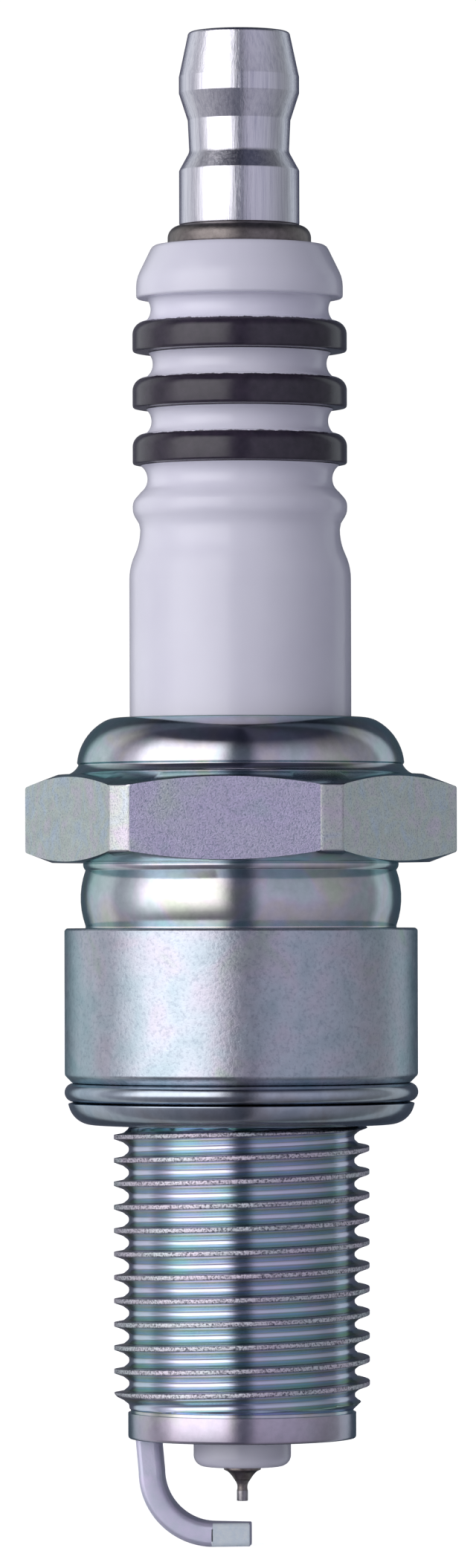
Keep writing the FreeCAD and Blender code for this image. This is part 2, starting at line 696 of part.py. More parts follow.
def make_ground_electrode():
    """Nickel strap welded on end to the shell, bent over the firing tip, its free end cut to a taper."""
    body = new_body("ground_electrode")
    section = new_sketch(body, "strap_section", "XY_Plane", "shell_end")
    near, far = "-strap_outer_radius + strap_thickness", "-strap_outer_radius"
    side = "strap_width / 2"
    edge = "strap_edge_round"
    draw(section, [
        (f"{far} + {edge}", f"-{side}", "left", edge),
        (f"{near} - {edge}", f"-{side}"),
        (near, f"-{side} + {edge}", "left", edge),
        (near, f"{side} - {edge}"),
        (f"{near} - {edge}", side, "left", edge),
        (f"{far} + {edge}", side),
        (far, f"{side} - {edge}", "left", edge),
        (far, f"-{side} + {edge}"),
    ])
    route = new_sketch(body, "strap_route", "XZ_Plane")
    arm = "(strap_top - strap_thickness / 2)"
    draw(route, [
        ("-strap_middle", "shell_end"),
        ("-strap_middle", f"{arm} + strap_bend"),
        ("-strap_middle + strap_bend", arm, "left", "strap_bend"),
        ("strap_overhang", arm),
    ], closed=False)
    strap = body.newObject("PartDesign::AdditivePipe", "strap")
    strap.Profile = section
    strap.Spine = (route, ["Edge1", "Edge2", "Edge3"])
    doc.recompute()
    corner = new_sketch(body, "strap_corner_outline", "XY_Plane")
    root = "strap_overhang - strap_taper_length"
    draw(corner, [
        (root, side),
        ("strap_overhang", "strap_tip_width / 2"),
        ("strap_overhang + strap_trim", "strap_tip_width / 2"),
        ("strap_overhang + strap_trim", f"{side} + strap_trim"),
        (root, f"{side} + strap_trim"),
    ])
    taper = body.newObject("PartDesign::Pocket", "strap_corner")
    taper.Profile = corner
    taper.Type = "ThroughAll"
    tapers = body.newObject("PartDesign::Mirrored", "strap_corners")
    tapers.Originals = [taper]
    tapers.MirrorPlane = (origin_feature(body, "XZ_Plane"), [""])
    body.Tip = tapers


def check_cuts():
    """Every cut and every pattern of cuts has taken material away."""
    least_cut = 1e-3
    for feature in doc.Objects:
        if feature.TypeId in ("PartDesign::Pocket", "PartDesign::Groove", "PartDesign::SubtractiveHelix",
                              "PartDesign::PolarPattern", "PartDesign::LinearPattern", "PartDesign::Mirrored"):
            if feature.Shape.Volume > feature.BaseFeature.Shape.Volume - least_cut:
                raise ValueError(f"{feature.Name} cuts nothing")


def export_pieces():
    blanks = {"upper_seal_blank"}
    pieces = [piece for piece in doc.Objects
              if piece.TypeId in ("PartDesign::Body", "Part::Cylinder", "Part::Torus", "Part::Cut")
              and piece.Name not in blanks]
    for thing in doc.Objects:
        if "Invalid" in thing.State or "Error" in thing.State:
            raise ValueError(f"{thing.Name} was not computed: {thing.State}")
    for piece in pieces:
        if piece.Shape.isNull() or not piece.Shape.isValid() or not piece.Shape.Solids:
            raise ValueError(f"{piece.Label} has no valid solid")
    os.makedirs("parts", exist_ok=True)
    for piece in pieces:
        piece.Shape.exportStep(f"parts/{piece.Label}.step")
        print(f"{piece.Label}: {piece.Shape.Volume:.2f} mm3")


make_shell()
make_gasket()
make_insulator()
make_packing()
make_centre_electrode()
make_core_stack(make_stud())
make_nut()
make_ground_electrode()
doc.recompute()
check_cuts()
export_pieces()
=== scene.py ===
import math

import bmesh
import bpy
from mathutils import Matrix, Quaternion, Vector


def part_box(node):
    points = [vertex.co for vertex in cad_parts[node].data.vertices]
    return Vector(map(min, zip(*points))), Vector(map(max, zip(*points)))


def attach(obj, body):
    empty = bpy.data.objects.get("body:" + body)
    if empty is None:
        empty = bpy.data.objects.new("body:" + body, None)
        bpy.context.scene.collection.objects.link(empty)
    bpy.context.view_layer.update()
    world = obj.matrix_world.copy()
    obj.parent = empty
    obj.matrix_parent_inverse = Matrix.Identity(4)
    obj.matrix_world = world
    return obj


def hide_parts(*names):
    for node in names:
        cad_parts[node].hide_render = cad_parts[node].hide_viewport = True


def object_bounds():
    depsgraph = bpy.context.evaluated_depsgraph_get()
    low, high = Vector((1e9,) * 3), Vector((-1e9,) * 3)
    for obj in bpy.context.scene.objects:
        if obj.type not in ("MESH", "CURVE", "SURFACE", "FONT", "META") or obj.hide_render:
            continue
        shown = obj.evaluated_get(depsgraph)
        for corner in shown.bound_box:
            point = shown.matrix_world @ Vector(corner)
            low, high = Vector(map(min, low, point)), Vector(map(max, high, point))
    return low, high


# A spark plug with an M14 thread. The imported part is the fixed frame, and the finely shaped pieces stand in
# for its outer nodes. Outlines are in millimetres, as (radius, height) about the plug's axis.

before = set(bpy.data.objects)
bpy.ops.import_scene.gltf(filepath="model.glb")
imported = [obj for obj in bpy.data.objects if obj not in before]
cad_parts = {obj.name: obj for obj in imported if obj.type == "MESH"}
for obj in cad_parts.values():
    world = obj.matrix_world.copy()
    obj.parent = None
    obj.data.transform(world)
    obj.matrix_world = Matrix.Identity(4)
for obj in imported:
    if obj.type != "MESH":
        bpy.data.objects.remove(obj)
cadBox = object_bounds()
mm = 0.001


def lowest(node):
    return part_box(node)[0] / mm


def highest(node):
    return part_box(node)[1] / mm


# small gaps that keep neighbouring pieces apart
gaps = {
    "seat": 0.02,
    "nut": 0.01,
    "strap": 0.005,
    "hexCorner": 0.001,
}

# levels that the pieces share, read from the frame
levels = {
    "seat": highest("gasket").z + gaps["seat"],
    "shellTop": highest("shell").z,
    "shellEnd": lowest("shell").z,
    "insulatorTop": highest("insulator").z,
    "noseEnd": lowest("insulator").z,
    "nutBottom": lowest("terminal_nut").z - gaps["nut"],
    "nutTop": highest("terminal_nut").z,
    "studTop": highest("terminal_stud").z,
    "studEnd": lowest("terminal_stud").z,
    "electrodeTop": highest("centre_electrode").z,
    "weldTop": highest("tip_weld").z,
    "weldEnd": lowest("tip_weld").z,
    "tipEnd": lowest("firing_tip").z,
    "strapEnd": lowest("ground_electrode").z + gaps["strap"],
    "talcTop": highest("talc_fill").z,
}
print("frame read:", {name: round(level, 2) for name, level in levels.items()})


# outlines and solids

shaping = {
    "arcStep": math.radians(6),     # how finely an outline's arcs are divided
    "cornerTurn": math.radians(25), # a corner that turns more than this is softened
    "cornerSegments": 3,
    "edge": 0.06,                   # how far an ordinary corner is softened
    "edgeShare": 0.4,               # the most of a line that softening takes at one end
    "turnSteps": 192,
    "sharpAngle": math.radians(40),
    "merge": 0.0002,                # vertices nearer than this become one
    "woundMerge": 0.002,
    "cutReach": 0.001,
    "helixLead": 1.5,               # pitches that a winding starts below its low level
    "levelReach": 0.01,             # how near its level a rim lies
}


def arcBetween(start, end, radius, side):
    # points of the shorter arc that turns to one side, without its start
    along = (end - start) / 2
    rise = math.sqrt(max(radius ** 2 - along.length ** 2, 0))
    left = Vector((-along.y, along.x)).normalized()
    centre = start + along + left * (rise if side == "left" else -rise)
    sweep = (end - centre).angle_signed(start - centre)
    count = max(2, math.ceil(abs(sweep) / shaping["arcStep"]))
    arm = start - centre
    points = []
    for step in range(1, count + 1):
        turn = sweep * step / count
        points.append(centre + Vector((arm.x * math.cos(turn) - arm.y * math.sin(turn),
                                       arm.x * math.sin(turn) + arm.y * math.cos(turn))))
    return points


def trace(corners, closed=True, edge=None):
    # a corner is (radius, height), and a third number is its own softening. With a side and a radius instead,
    # an arc leads to it.
    points = []
    softness = []
    for index, corner in enumerate(corners):
        here = Vector(corner[:2])
        if len(corner) == 4 and (index or closed):
            before = Vector(corners[index - 1][:2])
            arc = arcBetween(before, here, corner[3], corner[2])[:-1]
            points += arc
            softness += [0] * len(arc)
        points.append(here)
        softness.append(corner[2] if len(corner) == 3 else edge or shaping["edge"])
    return soften(points, softness, closed)


def soften(points, softness, closed):
    smooth = []
    count = len(points)
    for index, here in enumerate(points):
        ends = not closed and index in (0, count - 1)
        back = points[index - 1] - here
        on = points[(index + 1) % count] - here
        if ends or softness[index] == 0 or back.angle(-on, 0) < shaping["cornerTurn"]:
            smooth.append(here)
            continue
        longest = min(back.length, on.length) * shaping["edgeShare"]
        reach = min(softness[index], longest)
        start = here + back.normalized() * reach
        end = here + on.normalized() * reach
        for step in range(shaping["cornerSegments"] + 1):
            share = step / shaping["cornerSegments"]
            smooth.append(start * (1 - share) ** 2 + here * 2 * share * (1 - share) + end * share ** 2)
    return smooth


def drawOutline(bm, points, closed=True):
    corners = [bm.verts.new((point.x * mm, 0, point.y * mm)) for point in points]
    pairs = list(zip(corners, corners[1:] + corners[:1]))
    return corners + [bm.edges.new(pair) for pair in (pairs if closed else pairs[:-1])]


def turnOutline(bm, points, closed, steps):
    outline = drawOutline(bm, points, closed)
    bmesh.ops.spin(bm, geom=outline, cent=(0, 0, 0), axis=(0, 0, 1), angle=math.tau, steps=steps,
                   use_merge=True)
    bmesh.ops.remove_doubles(bm, verts=bm.verts, dist=shaping["merge"] * mm)


def turned(points, closed=True, steps=shaping["turnSteps"]):
    bm = bmesh.new()
    turnOutline(bm, points, closed, steps)
    bmesh.ops.recalc_face_normals(bm, faces=bm.faces)
    return bm


def helixSkin(profile, pitch, phase, low, high, stepsPerTurn):
    # pitch after pitch of the (radius, height) profile, wound up the axis by one right-handed turn
    bm = bmesh.new()
    start = phase - math.ceil((phase - low) / pitch + shaping["helixLead"]) * pitch
    count = math.ceil((high - start) / pitch) + 1
    stacked = [Vector((point.x, point.y + start + number * pitch))
               for number in range(count) for point in profile[1:]]
    outline = drawOutline(bm, stacked, closed=False)
    bmesh.ops.spin(bm, geom=outline, cent=(0, 0, 0), axis=(0, 0, 1), angle=math.tau,
                   dvec=(0, 0, pitch * mm / stepsPerTurn), steps=stepsPerTurn, use_merge=False)
    bmesh.ops.remove_doubles(bm, verts=bm.verts, dist=shaping["woundMerge"] * mm)
    return bm


def cutLevel(bm, level, keepAbove):
    everything = bm.verts[:] + bm.edges[:] + bm.faces[:]
    bmesh.ops.bisect_plane(bm, geom=everything, dist=shaping["cutReach"] * mm, plane_co=(0, 0, level * mm),
                           plane_no=(0, 0, 1), clear_inner=keepAbove, clear_outer=not keepAbove)


def radiusOf(point):
    return math.hypot(point.x, point.y) / mm


def setRadius(vertex, radius):
    scale = radius / radiusOf(vertex.co)
    vertex.co.x *= scale
    vertex.co.y *= scale


def rimEdges(bm, level):
    # the open edges that lie at one level
    near = shaping["levelReach"] * mm
    return [edge for edge in bm.edges if edge.is_boundary
            and all(abs(vertex.co.z - level * mm) < near for vertex in edge.verts)]


def placeObject(name, content):
    placed = bpy.data.objects.new(name, content)
    bpy.context.scene.collection.objects.link(placed)
    return placed


def addPiece(bm, name, body, nodes, materials, sharpAngle=shaping["sharpAngle"]):
    mesh = bpy.data.meshes.new(name)
    bm.to_mesh(mesh)
    bm.free()
    mesh.shade_smooth()
    mesh.set_sharp_from_angle(angle=sharpAngle)
    piece = placeObject(name, mesh)
    for material in materials:
        mesh.materials.append(material)
    normals = piece.modifiers.new("evenNormals", "WEIGHTED_NORMAL")
    normals.keep_sharp = True
    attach(piece, body)
    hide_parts(*nodes)
    print(f"{name}: {len(mesh.polygons)} faces")


# material helpers

def addNode(tree, kind, inputs=None, **settings):
    made = tree.nodes.new("ShaderNode" + kind)
    for name, content in settings.items():
        setattr(made, name, content)
    for name, content in (inputs or {}).items():
        if isinstance(content, bpy.types.NodeSocket):
            tree.links.new(content, made.inputs[name])
        else:
            made.inputs[name].default_value = content
    return made


def calc(tree, operation, first, second, clamp=False):
    made = addNode(tree, "Math", {0: first, 1: second}, operation=operation, use_clamp=clamp)
    return made.outputs[0]


def millimetres(tree, stretch=(1, 1, 1)):
    # the piece's own coordinates in millimetres, stretched where a pattern runs one way
    source = addNode(tree, "TexCoord").outputs["Object"]
    scale = [share / mm for share in stretch]
    return addNode(tree, "Mapping", {"Vector": source, "Scale": scale}).outputs[0]


def noise(tree, scale, detail=3.0, stretch=(1, 1, 1), roughness=0.5, distortion=0.0):
    inputs = {"Vector": millimetres(tree, stretch), "Scale": scale, "Detail": detail,
              "Roughness": roughness, "Distortion": distortion}
    return addNode(tree, "TexNoise", inputs).outputs["Fac"]


def ramp(tree, factor, stops):
    # a stop is (place, colour), or (place, shade) for a grey
    made = addNode(tree, "ValToRGB", {"Fac": factor})
    elements = made.color_ramp.elements
    while len(elements) < len(stops):
        elements.new(0.5)
    for element, (place, colour) in zip(elements, stops):
        element.position = place
        element.color = (*colour, 1) if isinstance(colour, tuple) else (colour, colour, colour, 1)
    return made.outputs["Color"]


def spread(tree, factor, low, high, fromLow=0.0, fromHigh=1.0):
    inputs = {"Value": factor, "From Min": fromLow, "From Max": fromHigh, "To Min": low, "To Max": high}
    return addNode(tree, "MapRange", inputs).outputs["Result"]


def blendColour(tree, factor, first, second, mode="MIX"):
    made = addNode(tree, "Mix", data_type="RGBA", blend_type=mode)
    for place, content in ((0, factor), (6, first), (7, second)):
        if isinstance(content, bpy.types.NodeSocket):
            tree.links.new(content, made.inputs[place])
        else:
            made.inputs[place].default_value = (*content, 1) if isinstance(content, tuple) else content
    return made.outputs[2]


def bump(tree, height, depth):
    return addNode(tree, "Bump", {"Height": height, "Distance": depth * mm}).outputs["Normal"]


def newMaterial(name):
    material = bpy.data.materials.new(name)
    material.use_nodes = True
    tree = material.node_tree
    tree.nodes.clear()
    return material, tree


def setShader(tree, inputs):
    # a colour of three numbers gets its fourth
    filled = {}
    for name, content in inputs.items():
        filled[name] = (*content, 1) if isinstance(content, tuple) else content
    shader = addNode(tree, "BsdfPrincipled", filled)
    output = addNode(tree, "OutputMaterial")
    tree.links.new(shader.outputs[0], output.inputs["Surface"])


# plating: zinc on steel, with soft interference tints, and on the hexagon painted shade on the front and back
# flats and painted light on the side flats. Each kind has its tints and roughness, its grain per millimetre
# and how deep that is, and how strongly dark specks show.
plating = {
    "edgeTint": (0.52, 0.74, 0.75),
    "cloud": 0.35,           # patches of tint per millimetre
    "mottle": 1.7,
    "mottleShade": [(0.25, 0.82), (0.75, 1.0)],
    "speckShade": [(0.36, 1.0), (0.5, 0.0)],
    "speckColour": (0.20, 0.24, 0.32),
    "roughSpread": (0.8, 1.25),
}
platingKinds = {
    "crimp": {
        "rough": 0.12, "grain": 3, "depth": 0.0015,
        "tints": [(0.3, (0.56, 0.66, 0.66)), (0.42, (0.64, 0.70, 0.74)), (0.5, (0.70, 0.67, 0.76)),
                  (0.58, (0.72, 0.68, 0.68)), (0.7, (0.64, 0.70, 0.58))],
    },
    # the hexagon's front and back flats: painted shade, tints darker than the side flats'
    "hex": {
        "rough": 0.38, "grain": 11, "depth": 0.028, "specks": 0.7,
        "tints": [(0.3, (0.46, 0.48, 0.62)), (0.42, (0.52, 0.48, 0.68)), (0.58, (0.52, 0.50, 0.66)),
                  (0.7, (0.50, 0.54, 0.58))],
    },
    # the hexagon's four side flats: painted light, tints much lighter than the front and back flats'
    "litHexSide": {
        "rough": 0.4, "grain": 11, "depth": 0.028, "specks": 0.5, "cloud": 0.7,
        "tints": [(0.3, (0.82, 0.89, 1.0)), (0.5, (0.86, 0.90, 0.85)), (0.7, (0.95, 0.86, 0.97))],
    },
    "barrel": {
        "rough": 0.3, "grain": 5, "depth": 0.012, "specks": 0.35,
        "tints": [(0.3, (0.50, 0.60, 0.66)), (0.45, (0.60, 0.66, 0.73)), (0.6, (0.66, 0.64, 0.73)),
                  (0.72, (0.56, 0.63, 0.60))],
    },
    "pilot": {
        "rough": 0.2, "grain": 4, "depth": 0.0012,
        "tints": [(0.3, (0.56, 0.53, 0.62)), (0.5, (0.62, 0.55, 0.66)), (0.7, (0.56, 0.58, 0.54))],
    },
    "lip": {
        "rough": 0.4, "grain": 6, "depth": 0.01,
        "tints": [(0.3, (0.34, 0.34, 0.32)), (0.7, (0.44, 0.42, 0.36))],
    },
    "gasket": {
        "rough": 0.15, "grain": 3, "depth": 0.003, "edgeTint": (0.7, 0.78, 0.82),
        "tints": [(0.3, (0.44, 0.51, 0.60)), (0.5, (0.54, 0.60, 0.68)), (0.7, (0.50, 0.50, 0.54))],
    },
}


def platedFinish(name, kindName):
    kind = {**plating, **platingKinds[kindName]}
    material, tree = newMaterial(name)
    drift = noise(tree, kind["cloud"], detail=2.5, distortion=0.6)
    mottle = noise(tree, kind["mottle"], detail=5, roughness=0.65)
    shade = ramp(tree, mottle, kind["mottleShade"])
    colour = blendColour(tree, 1.0, ramp(tree, drift, kind["tints"]), shade, "MULTIPLY")
    fine = noise(tree, kind["grain"], detail=4, roughness=0.7)
    if "specks" in kind:
        specks = calc(tree, "MULTIPLY", ramp(tree, fine, kind["speckShade"]), kind["specks"])
        colour = blendColour(tree, specks, colour, kind["speckColour"])
    smoothest, roughest = kind["roughSpread"]
    setShader(tree, {
        "Base Color": colour,
        "Metallic": 1.0,
        "Roughness": spread(tree, mottle, kind["rough"] * smoothest, kind["rough"] * roughest),
        "Specular Tint": kind["edgeTint"],
        "Normal": bump(tree, fine, kind["depth"]),
    })
    return material


# plain metals: two close shades in soft patches, with a fine grain
plainMetal = {
    "grainRatio": 8,         # grain per patch
    "roughSpread": (0.85, 1.2),
}


def steelFinish(name, dark, light, rough, scale=2.0, grain=0.004, metallic=1.0):
    material, tree = newMaterial(name)
    patches = noise(tree, scale, detail=4, roughness=0.6)
    fine = noise(tree, scale * plainMetal["grainRatio"], detail=3)
    smoothest, roughest = plainMetal["roughSpread"]
    setShader(tree, {
        "Base Color": ramp(tree, patches, [(0.3, dark), (0.7, light)]),
        "Metallic": metallic,
        "Roughness": spread(tree, patches, rough * smoothest, rough * roughest),
        "Normal": bump(tree, fine, grain),
    })
    return material


# insulator: glazed alumina, ribbed above and tapered below

insulator = {
    "ribPitch": 3.01,
    "ribFirst": 4.08,
    "ribWidth": 1.65,
    "ribRadius": 5.735,
    "ribRound": 0.7,
    "grooveRound": 0.88,
    "grooveRadii": (4.98, 4.92, 5.06),
    "lastGroove": 5.4,
    "lastDip": 0.12,         # how far the last groove's hollow runs in,
    "lastFoot": 0.1,         # and the last rib's levels below its top
    "lastRise": 0.62,
    "lastFall": 1.25,
    "lastEnd": 1.8,
    "headFace": 4.65,
    "headRadius": 5.53,
    "headCone": 1.8,
    "headLength": 2.86,
    "neckRadius": 5.34,
    "neckStart": 0.06,
    "neckDepth": 15.25,
    "flareLength": 2.65,
    "flareRound": 3.1,
    "bodyRadius": 5.925,
    "shoulderRadius": 7.15,
    "shoulderGap": 1.05,     # from the lower packing ring down to the shoulder's edge
    "shoulderCone": 1.0,
    "shoulderLength": 7.9,
    "stepLength": 1.75,
    "legRadius": 4.7,
    "legEnd": -4.0,
    "legEndCone": 0.8,
    "legTaper": 3.75,
    "boreRadius": 2.0,
    "boreBevel": 0.15,
    "electrodeBore": 1.28,
    "electrodeSeat": 0.6,
    "noseRadius": 2.6,
    "noseRound": 0.6,
}
glaze = {
    "bandHeight": 1.62,
    "bandFoot": 0.06,        # how far the lowest band runs below its rib
    "bandReach": 0.4,
    "ragged": 0.14,
    "white": [(0.3, (0.80, 0.785, 0.905)), (0.7, (0.84, 0.83, 0.94))],
    "dark": [(0.3, (0.026, 0.020, 0.034)), (0.7, (0.042, 0.032, 0.052))],
    "rough": (0.13, 0.2),
    "index": 1.52,
    "ripple": 0.01,
}


def glazeFinish():
    # white glaze with a dark glaze band over each of the three upper ribs
    material, tree = newMaterial("insulatorGlaze")
    height = addNode(tree, "SeparateXYZ", {"Vector": millimetres(tree)}).outputs["Z"]
    edge = noise(tree, scale=1.6, detail=5, stretch=(1, 1, 0.2), roughness=0.8)
    wave = spread(tree, edge, -glaze["ragged"], glaze["ragged"])
    pitch = insulator["ribPitch"]
    firstTop = levels["insulatorTop"] - insulator["ribFirst"]
    low = firstTop - 2 * pitch - insulator["ribWidth"] - glaze["bandFoot"]
    inPitch = calc(tree, "MODULO", calc(tree, "SUBTRACT", height, low), pitch)
    onRib = calc(tree, "LESS_THAN", inPitch, calc(tree, "ADD", wave, glaze["bandHeight"]))
    above = calc(tree, "GREATER_THAN", height, low)
    below = calc(tree, "LESS_THAN", height, firstTop + glaze["bandReach"])
    band = calc(tree, "MULTIPLY", onRib, calc(tree, "MULTIPLY", above, below))
    white = ramp(tree, noise(tree, scale=0.25, detail=2), glaze["white"])
    dark = ramp(tree, noise(tree, scale=2, detail=4), glaze["dark"])
    cloud = noise(tree, scale=3, detail=3)
    ripple = noise(tree, scale=0.9, detail=2)
    setShader(tree, {
        "Base Color": blendColour(tree, band, white, dark),
        "Roughness": spread(tree, cloud, *glaze["rough"]),
        "IOR": glaze["index"],
        "Normal": bump(tree, ripple, glaze["ripple"]),
    })
    return material


def ribCorners(number):
    size = insulator
    top = levels["insulatorTop"] - size["ribFirst"] - number * size["ribPitch"]
    under = top + size["ribPitch"] - size["ribWidth"]
    if number == 0:
        under = levels["insulatorTop"] - size["headLength"]
    rib = size["ribRadius"]
    return [
        (size["grooveRadii"][number], under, 0.12),
        (rib - size["ribRound"], top, "left", size["grooveRound"]),
        (rib, top - size["ribRound"], "right", size["ribRound"]),
        (rib, top - size["ribWidth"], 0.16),
    ]


def makeInsulator():
    size = insulator
    top = levels["insulatorTop"]
    end = levels["noseEnd"]
    lastTop = top - size["ribFirst"] - 3 * size["ribPitch"]
    neck = top - size["neckDepth"]
    flareMiddle = (size["neckRadius"] + size["bodyRadius"]) / 2
    shoulder = lowest("lower_packing_ring").z - size["shoulderGap"]
    shoulderEnd = shoulder - size["shoulderLength"]
    sealEnd = lowest("lower_glass_seal").z
    points = trace([
        (size["boreRadius"] + size["boreBevel"], top, 0.05),
        (size["headFace"], top, 0.25),
        (size["headRadius"], top - size["headCone"], 0.5),
        (size["headRadius"], top - size["headLength"], 0.16),
        *ribCorners(0),
        *ribCorners(1),
        *ribCorners(2),
        (size["lastGroove"], lastTop + size["ribPitch"] - size["ribWidth"], 0.12),
        (size["lastGroove"] - size["lastDip"], lastTop - size["lastFoot"], "left",
         size["grooveRound"]),
        (size["ribRadius"], lastTop - size["lastRise"], 0.25),
        (size["ribRadius"], lastTop - size["lastFall"], 0.3),
        (size["neckRadius"] + size["neckStart"], lastTop - size["lastEnd"], 0.3),
        (size["neckRadius"], neck, 0),
        (flareMiddle, neck - size["flareLength"] / 2, "left", size["flareRound"]),
        (size["bodyRadius"], neck - size["flareLength"], "right", size["flareRound"]),
        (size["bodyRadius"], shoulder + size["shoulderCone"], 0.2),
        (size["shoulderRadius"], shoulder, 0.2),
        (size["shoulderRadius"], shoulderEnd, 0.2),
        (size["legRadius"], shoulderEnd - size["stepLength"], 0.3),
        (size["legRadius"], size["legEnd"], 0.2),
        (size["legTaper"], size["legEnd"] - size["legEndCone"], 0.2),
        (size["noseRadius"], levels["shellEnd"], 0.3),
        (size["noseRadius"], end + size["noseRound"]),
        (size["noseRadius"] - size["noseRound"], end, "right", size["noseRound"]),
        (size["electrodeBore"], end, 0.05),
        (size["electrodeBore"], sealEnd - size["electrodeSeat"]),
        (size["boreRadius"], sealEnd),
        (size["boreRadius"], top - size["boreBevel"], 0.05),
    ])
    addPiece(turned(points), "insulatorBody", "plug", ["insulator"], [glazeFinish()])


makeInsulator()


# shell: forged and plated steel

shell = {
    "boreRadius": 6.005,
    "boreDepth": 0.8,
    "crimpRadius": 8.75,
    "crimpFoot": 0.62,       # height of the dome's crease over the hexagon
    "crimpCrease": 8.67,
    "creaseHeight": 0.1,
    "skirtRadius": 9.3,
    "skirtRound": 1.0,
    "crimpRound": 2.82,
    "crownRadius": 7.36,
    "crownDrop": 0.22,
    "crownRound": 1.6,
    "topRadius": 6.55,
    "lipRadius": 7.0,        # the lip's own finish lies inside this radius, and down to this depth
    "lipDepth": 0.5,
    "hexFlats": highest("shell").y,
    "hexSides": highest("shell").y - 0.17,
    "hexCorners": -lowest("shell").x - gaps["hexCorner"],
    "hexTopFace": 9.8,
    "hexBottomFace": 10.1,
    "hexHeight": 4.7,
    "hexChamfer": math.tan(math.radians(21)),
    "hexCutReach": 0.02,
    "buckleHeight": 3.5,
    "buckleRadius": 8.42,
    "buckleGroove": 0.11,
    "buckleFoot": 0.12,
    "buckleRound": 4.4,
    "buckleLip": 0.4,
    "barrelHeight": 8.25,
    "barrelRadius": 9.44,
    "barrelBevel": 0.12,
    "seatFace": 9.05,
    "seatCone": 0.4,
    "packingRadius": 7.25,   # the wider room for the packing and the insulator's shoulder,
    "packingRound": 1.245,
    "packingEnd": 3.5,       # and how far below the barrel's top it ends
    "ledgeRadius": 4.85,
    "ledgeCone": 1.7,
    "ledgeDepth": 5.85,      # below the seat
    "throatRadius": 4.0,
    "throatCone": 0.71,
    "throatLength": 2.0,
    "mouthRadius": 4.8,
    "mouthCone": 0.6,
    "turnSteps": 240,
}
# a face takes the finish of its kind outside this radius, and the hexagon's where it stands about upright; of
# those, the faces turned to the front or back take the painted-shade finish and the others the painted-light
# one
shellKinds = ["crimp", "hex", "barrel", "thread", "pilot", "litHexSide", "lip"]
kindFrom = {
    "pilot": 5.9,
    "thread": 6.0,
    "barrel": 9.0,
    "hex": 9.9,
    "upright": 0.3,
    "facing": 0.95,
}
thread = {
    "crest": 6.83,
    "root": 6.03,
    "groove": [(6.31, 0.22, 0.08), (6.03, 0.46, 0.16), (6.03, 0.72, 0.16), (6.34, 0.96, 0.12)],
    "pitch": 1.25,
    "crestWidth": 0.24,
    "crestSoft": 0.04,
    "crestAtX": -0.05,       # height of a crest at +X
    "runOut": 1.04,
    "rimGap": 0.1,
    "rimMerge": 0.02,
    "stepsPerTurn": 160,
    "relief": 6.34,
    "reliefLength": 2.05,
    "pilot": 6.09,
    "pilotLength": 1.4,
    "pilotGroove": 5.95,
    "pilotGrooveLength": 0.14,
}


threadTint = {
    "drift": 0.1,
    # colour by depth: the plating's tints together with painted reflection stripes, lighter crest and root,
    # darker flanks
    "tintAndReflectionByDepth": [
        (0.0, (0.82, 0.80, 0.85)), (0.2, (0.62, 0.60, 0.64)), (0.34, (0.54, 0.51, 0.52)),
        (0.5, (0.58, 0.62, 0.38)), (0.64, (0.48, 0.60, 0.46)), (0.78, (0.44, 0.62, 0.60)),
        (0.9, (0.52, 0.65, 0.80)), (1.0, (0.67, 0.71, 0.84)),
    ],
    "patches": [(0.4, (1.0, 0.93, 0.99)), (0.6, (0.92, 1.0, 0.97))],
    "crestFall": 5.0,        # the crest's own look fades out over a fifth of the depth
    "worn": [(0.4, (0.16, 0.16, 0.2)), (0.52, (1, 1, 1))],
    "grooveGrain": 0.05,
    "rough": (0.13, 0.4),
    "edgeTint": (0.74, 0.74, 0.77),
    "grainDepth": 0.03,
}


def threadFinish():
    # tint follows the depth into the groove: grainy lavender crest, olive, teal, blue, then a lavender root.
    # Besides the plating's tints this is painted reflection: the crest and root lighter, the flanks darker.
    material, tree = newMaterial("threadPlating")
    depth = addNode(tree, "Attribute", attribute_name="depth").outputs["Fac"]
    drift = spread(tree, noise(tree, scale=0.8, detail=2), -threadTint["drift"], threadTint["drift"])
    colour = ramp(tree, calc(tree, "ADD", depth, drift), threadTint["tintAndReflectionByDepth"])
    patches = ramp(tree, noise(tree, scale=0.3, detail=2), threadTint["patches"])
    colour = blendColour(tree, 1.0, colour, patches, "MULTIPLY")
    crest = calc(tree, "SUBTRACT", 1.0, calc(tree, "MULTIPLY", depth, threadTint["crestFall"], clamp=True))
    fine = noise(tree, scale=9, detail=4, roughness=0.75)
    worn = blendColour(tree, 1.0, colour, ramp(tree, fine, threadTint["worn"]), "MULTIPLY")
    height = calc(tree, "MULTIPLY", fine, spread(tree, crest, threadTint["grooveGrain"], 1.0))
    setShader(tree, {
        "Base Color": blendColour(tree, crest, colour, worn),
        "Metallic": 1.0,
        "Roughness": spread(tree, crest, *threadTint["rough"]),
        "Specular Tint": threadTint["edgeTint"],
        "Normal": bump(tree, height, threadTint["grainDepth"]),
    })
    return material


def threadProfile(size):
    # one pitch, from the middle of a crest up to the next
    crest = size["crest"]
    half = size["crestWidth"] / 2
    return trace([
        (crest, 0),
        (crest, half, size["crestSoft"]),
        *size["groove"],
        (crest, size["pitch"] - half, size["crestSoft"]),
        (crest, size["pitch"]),
    ], closed=False)


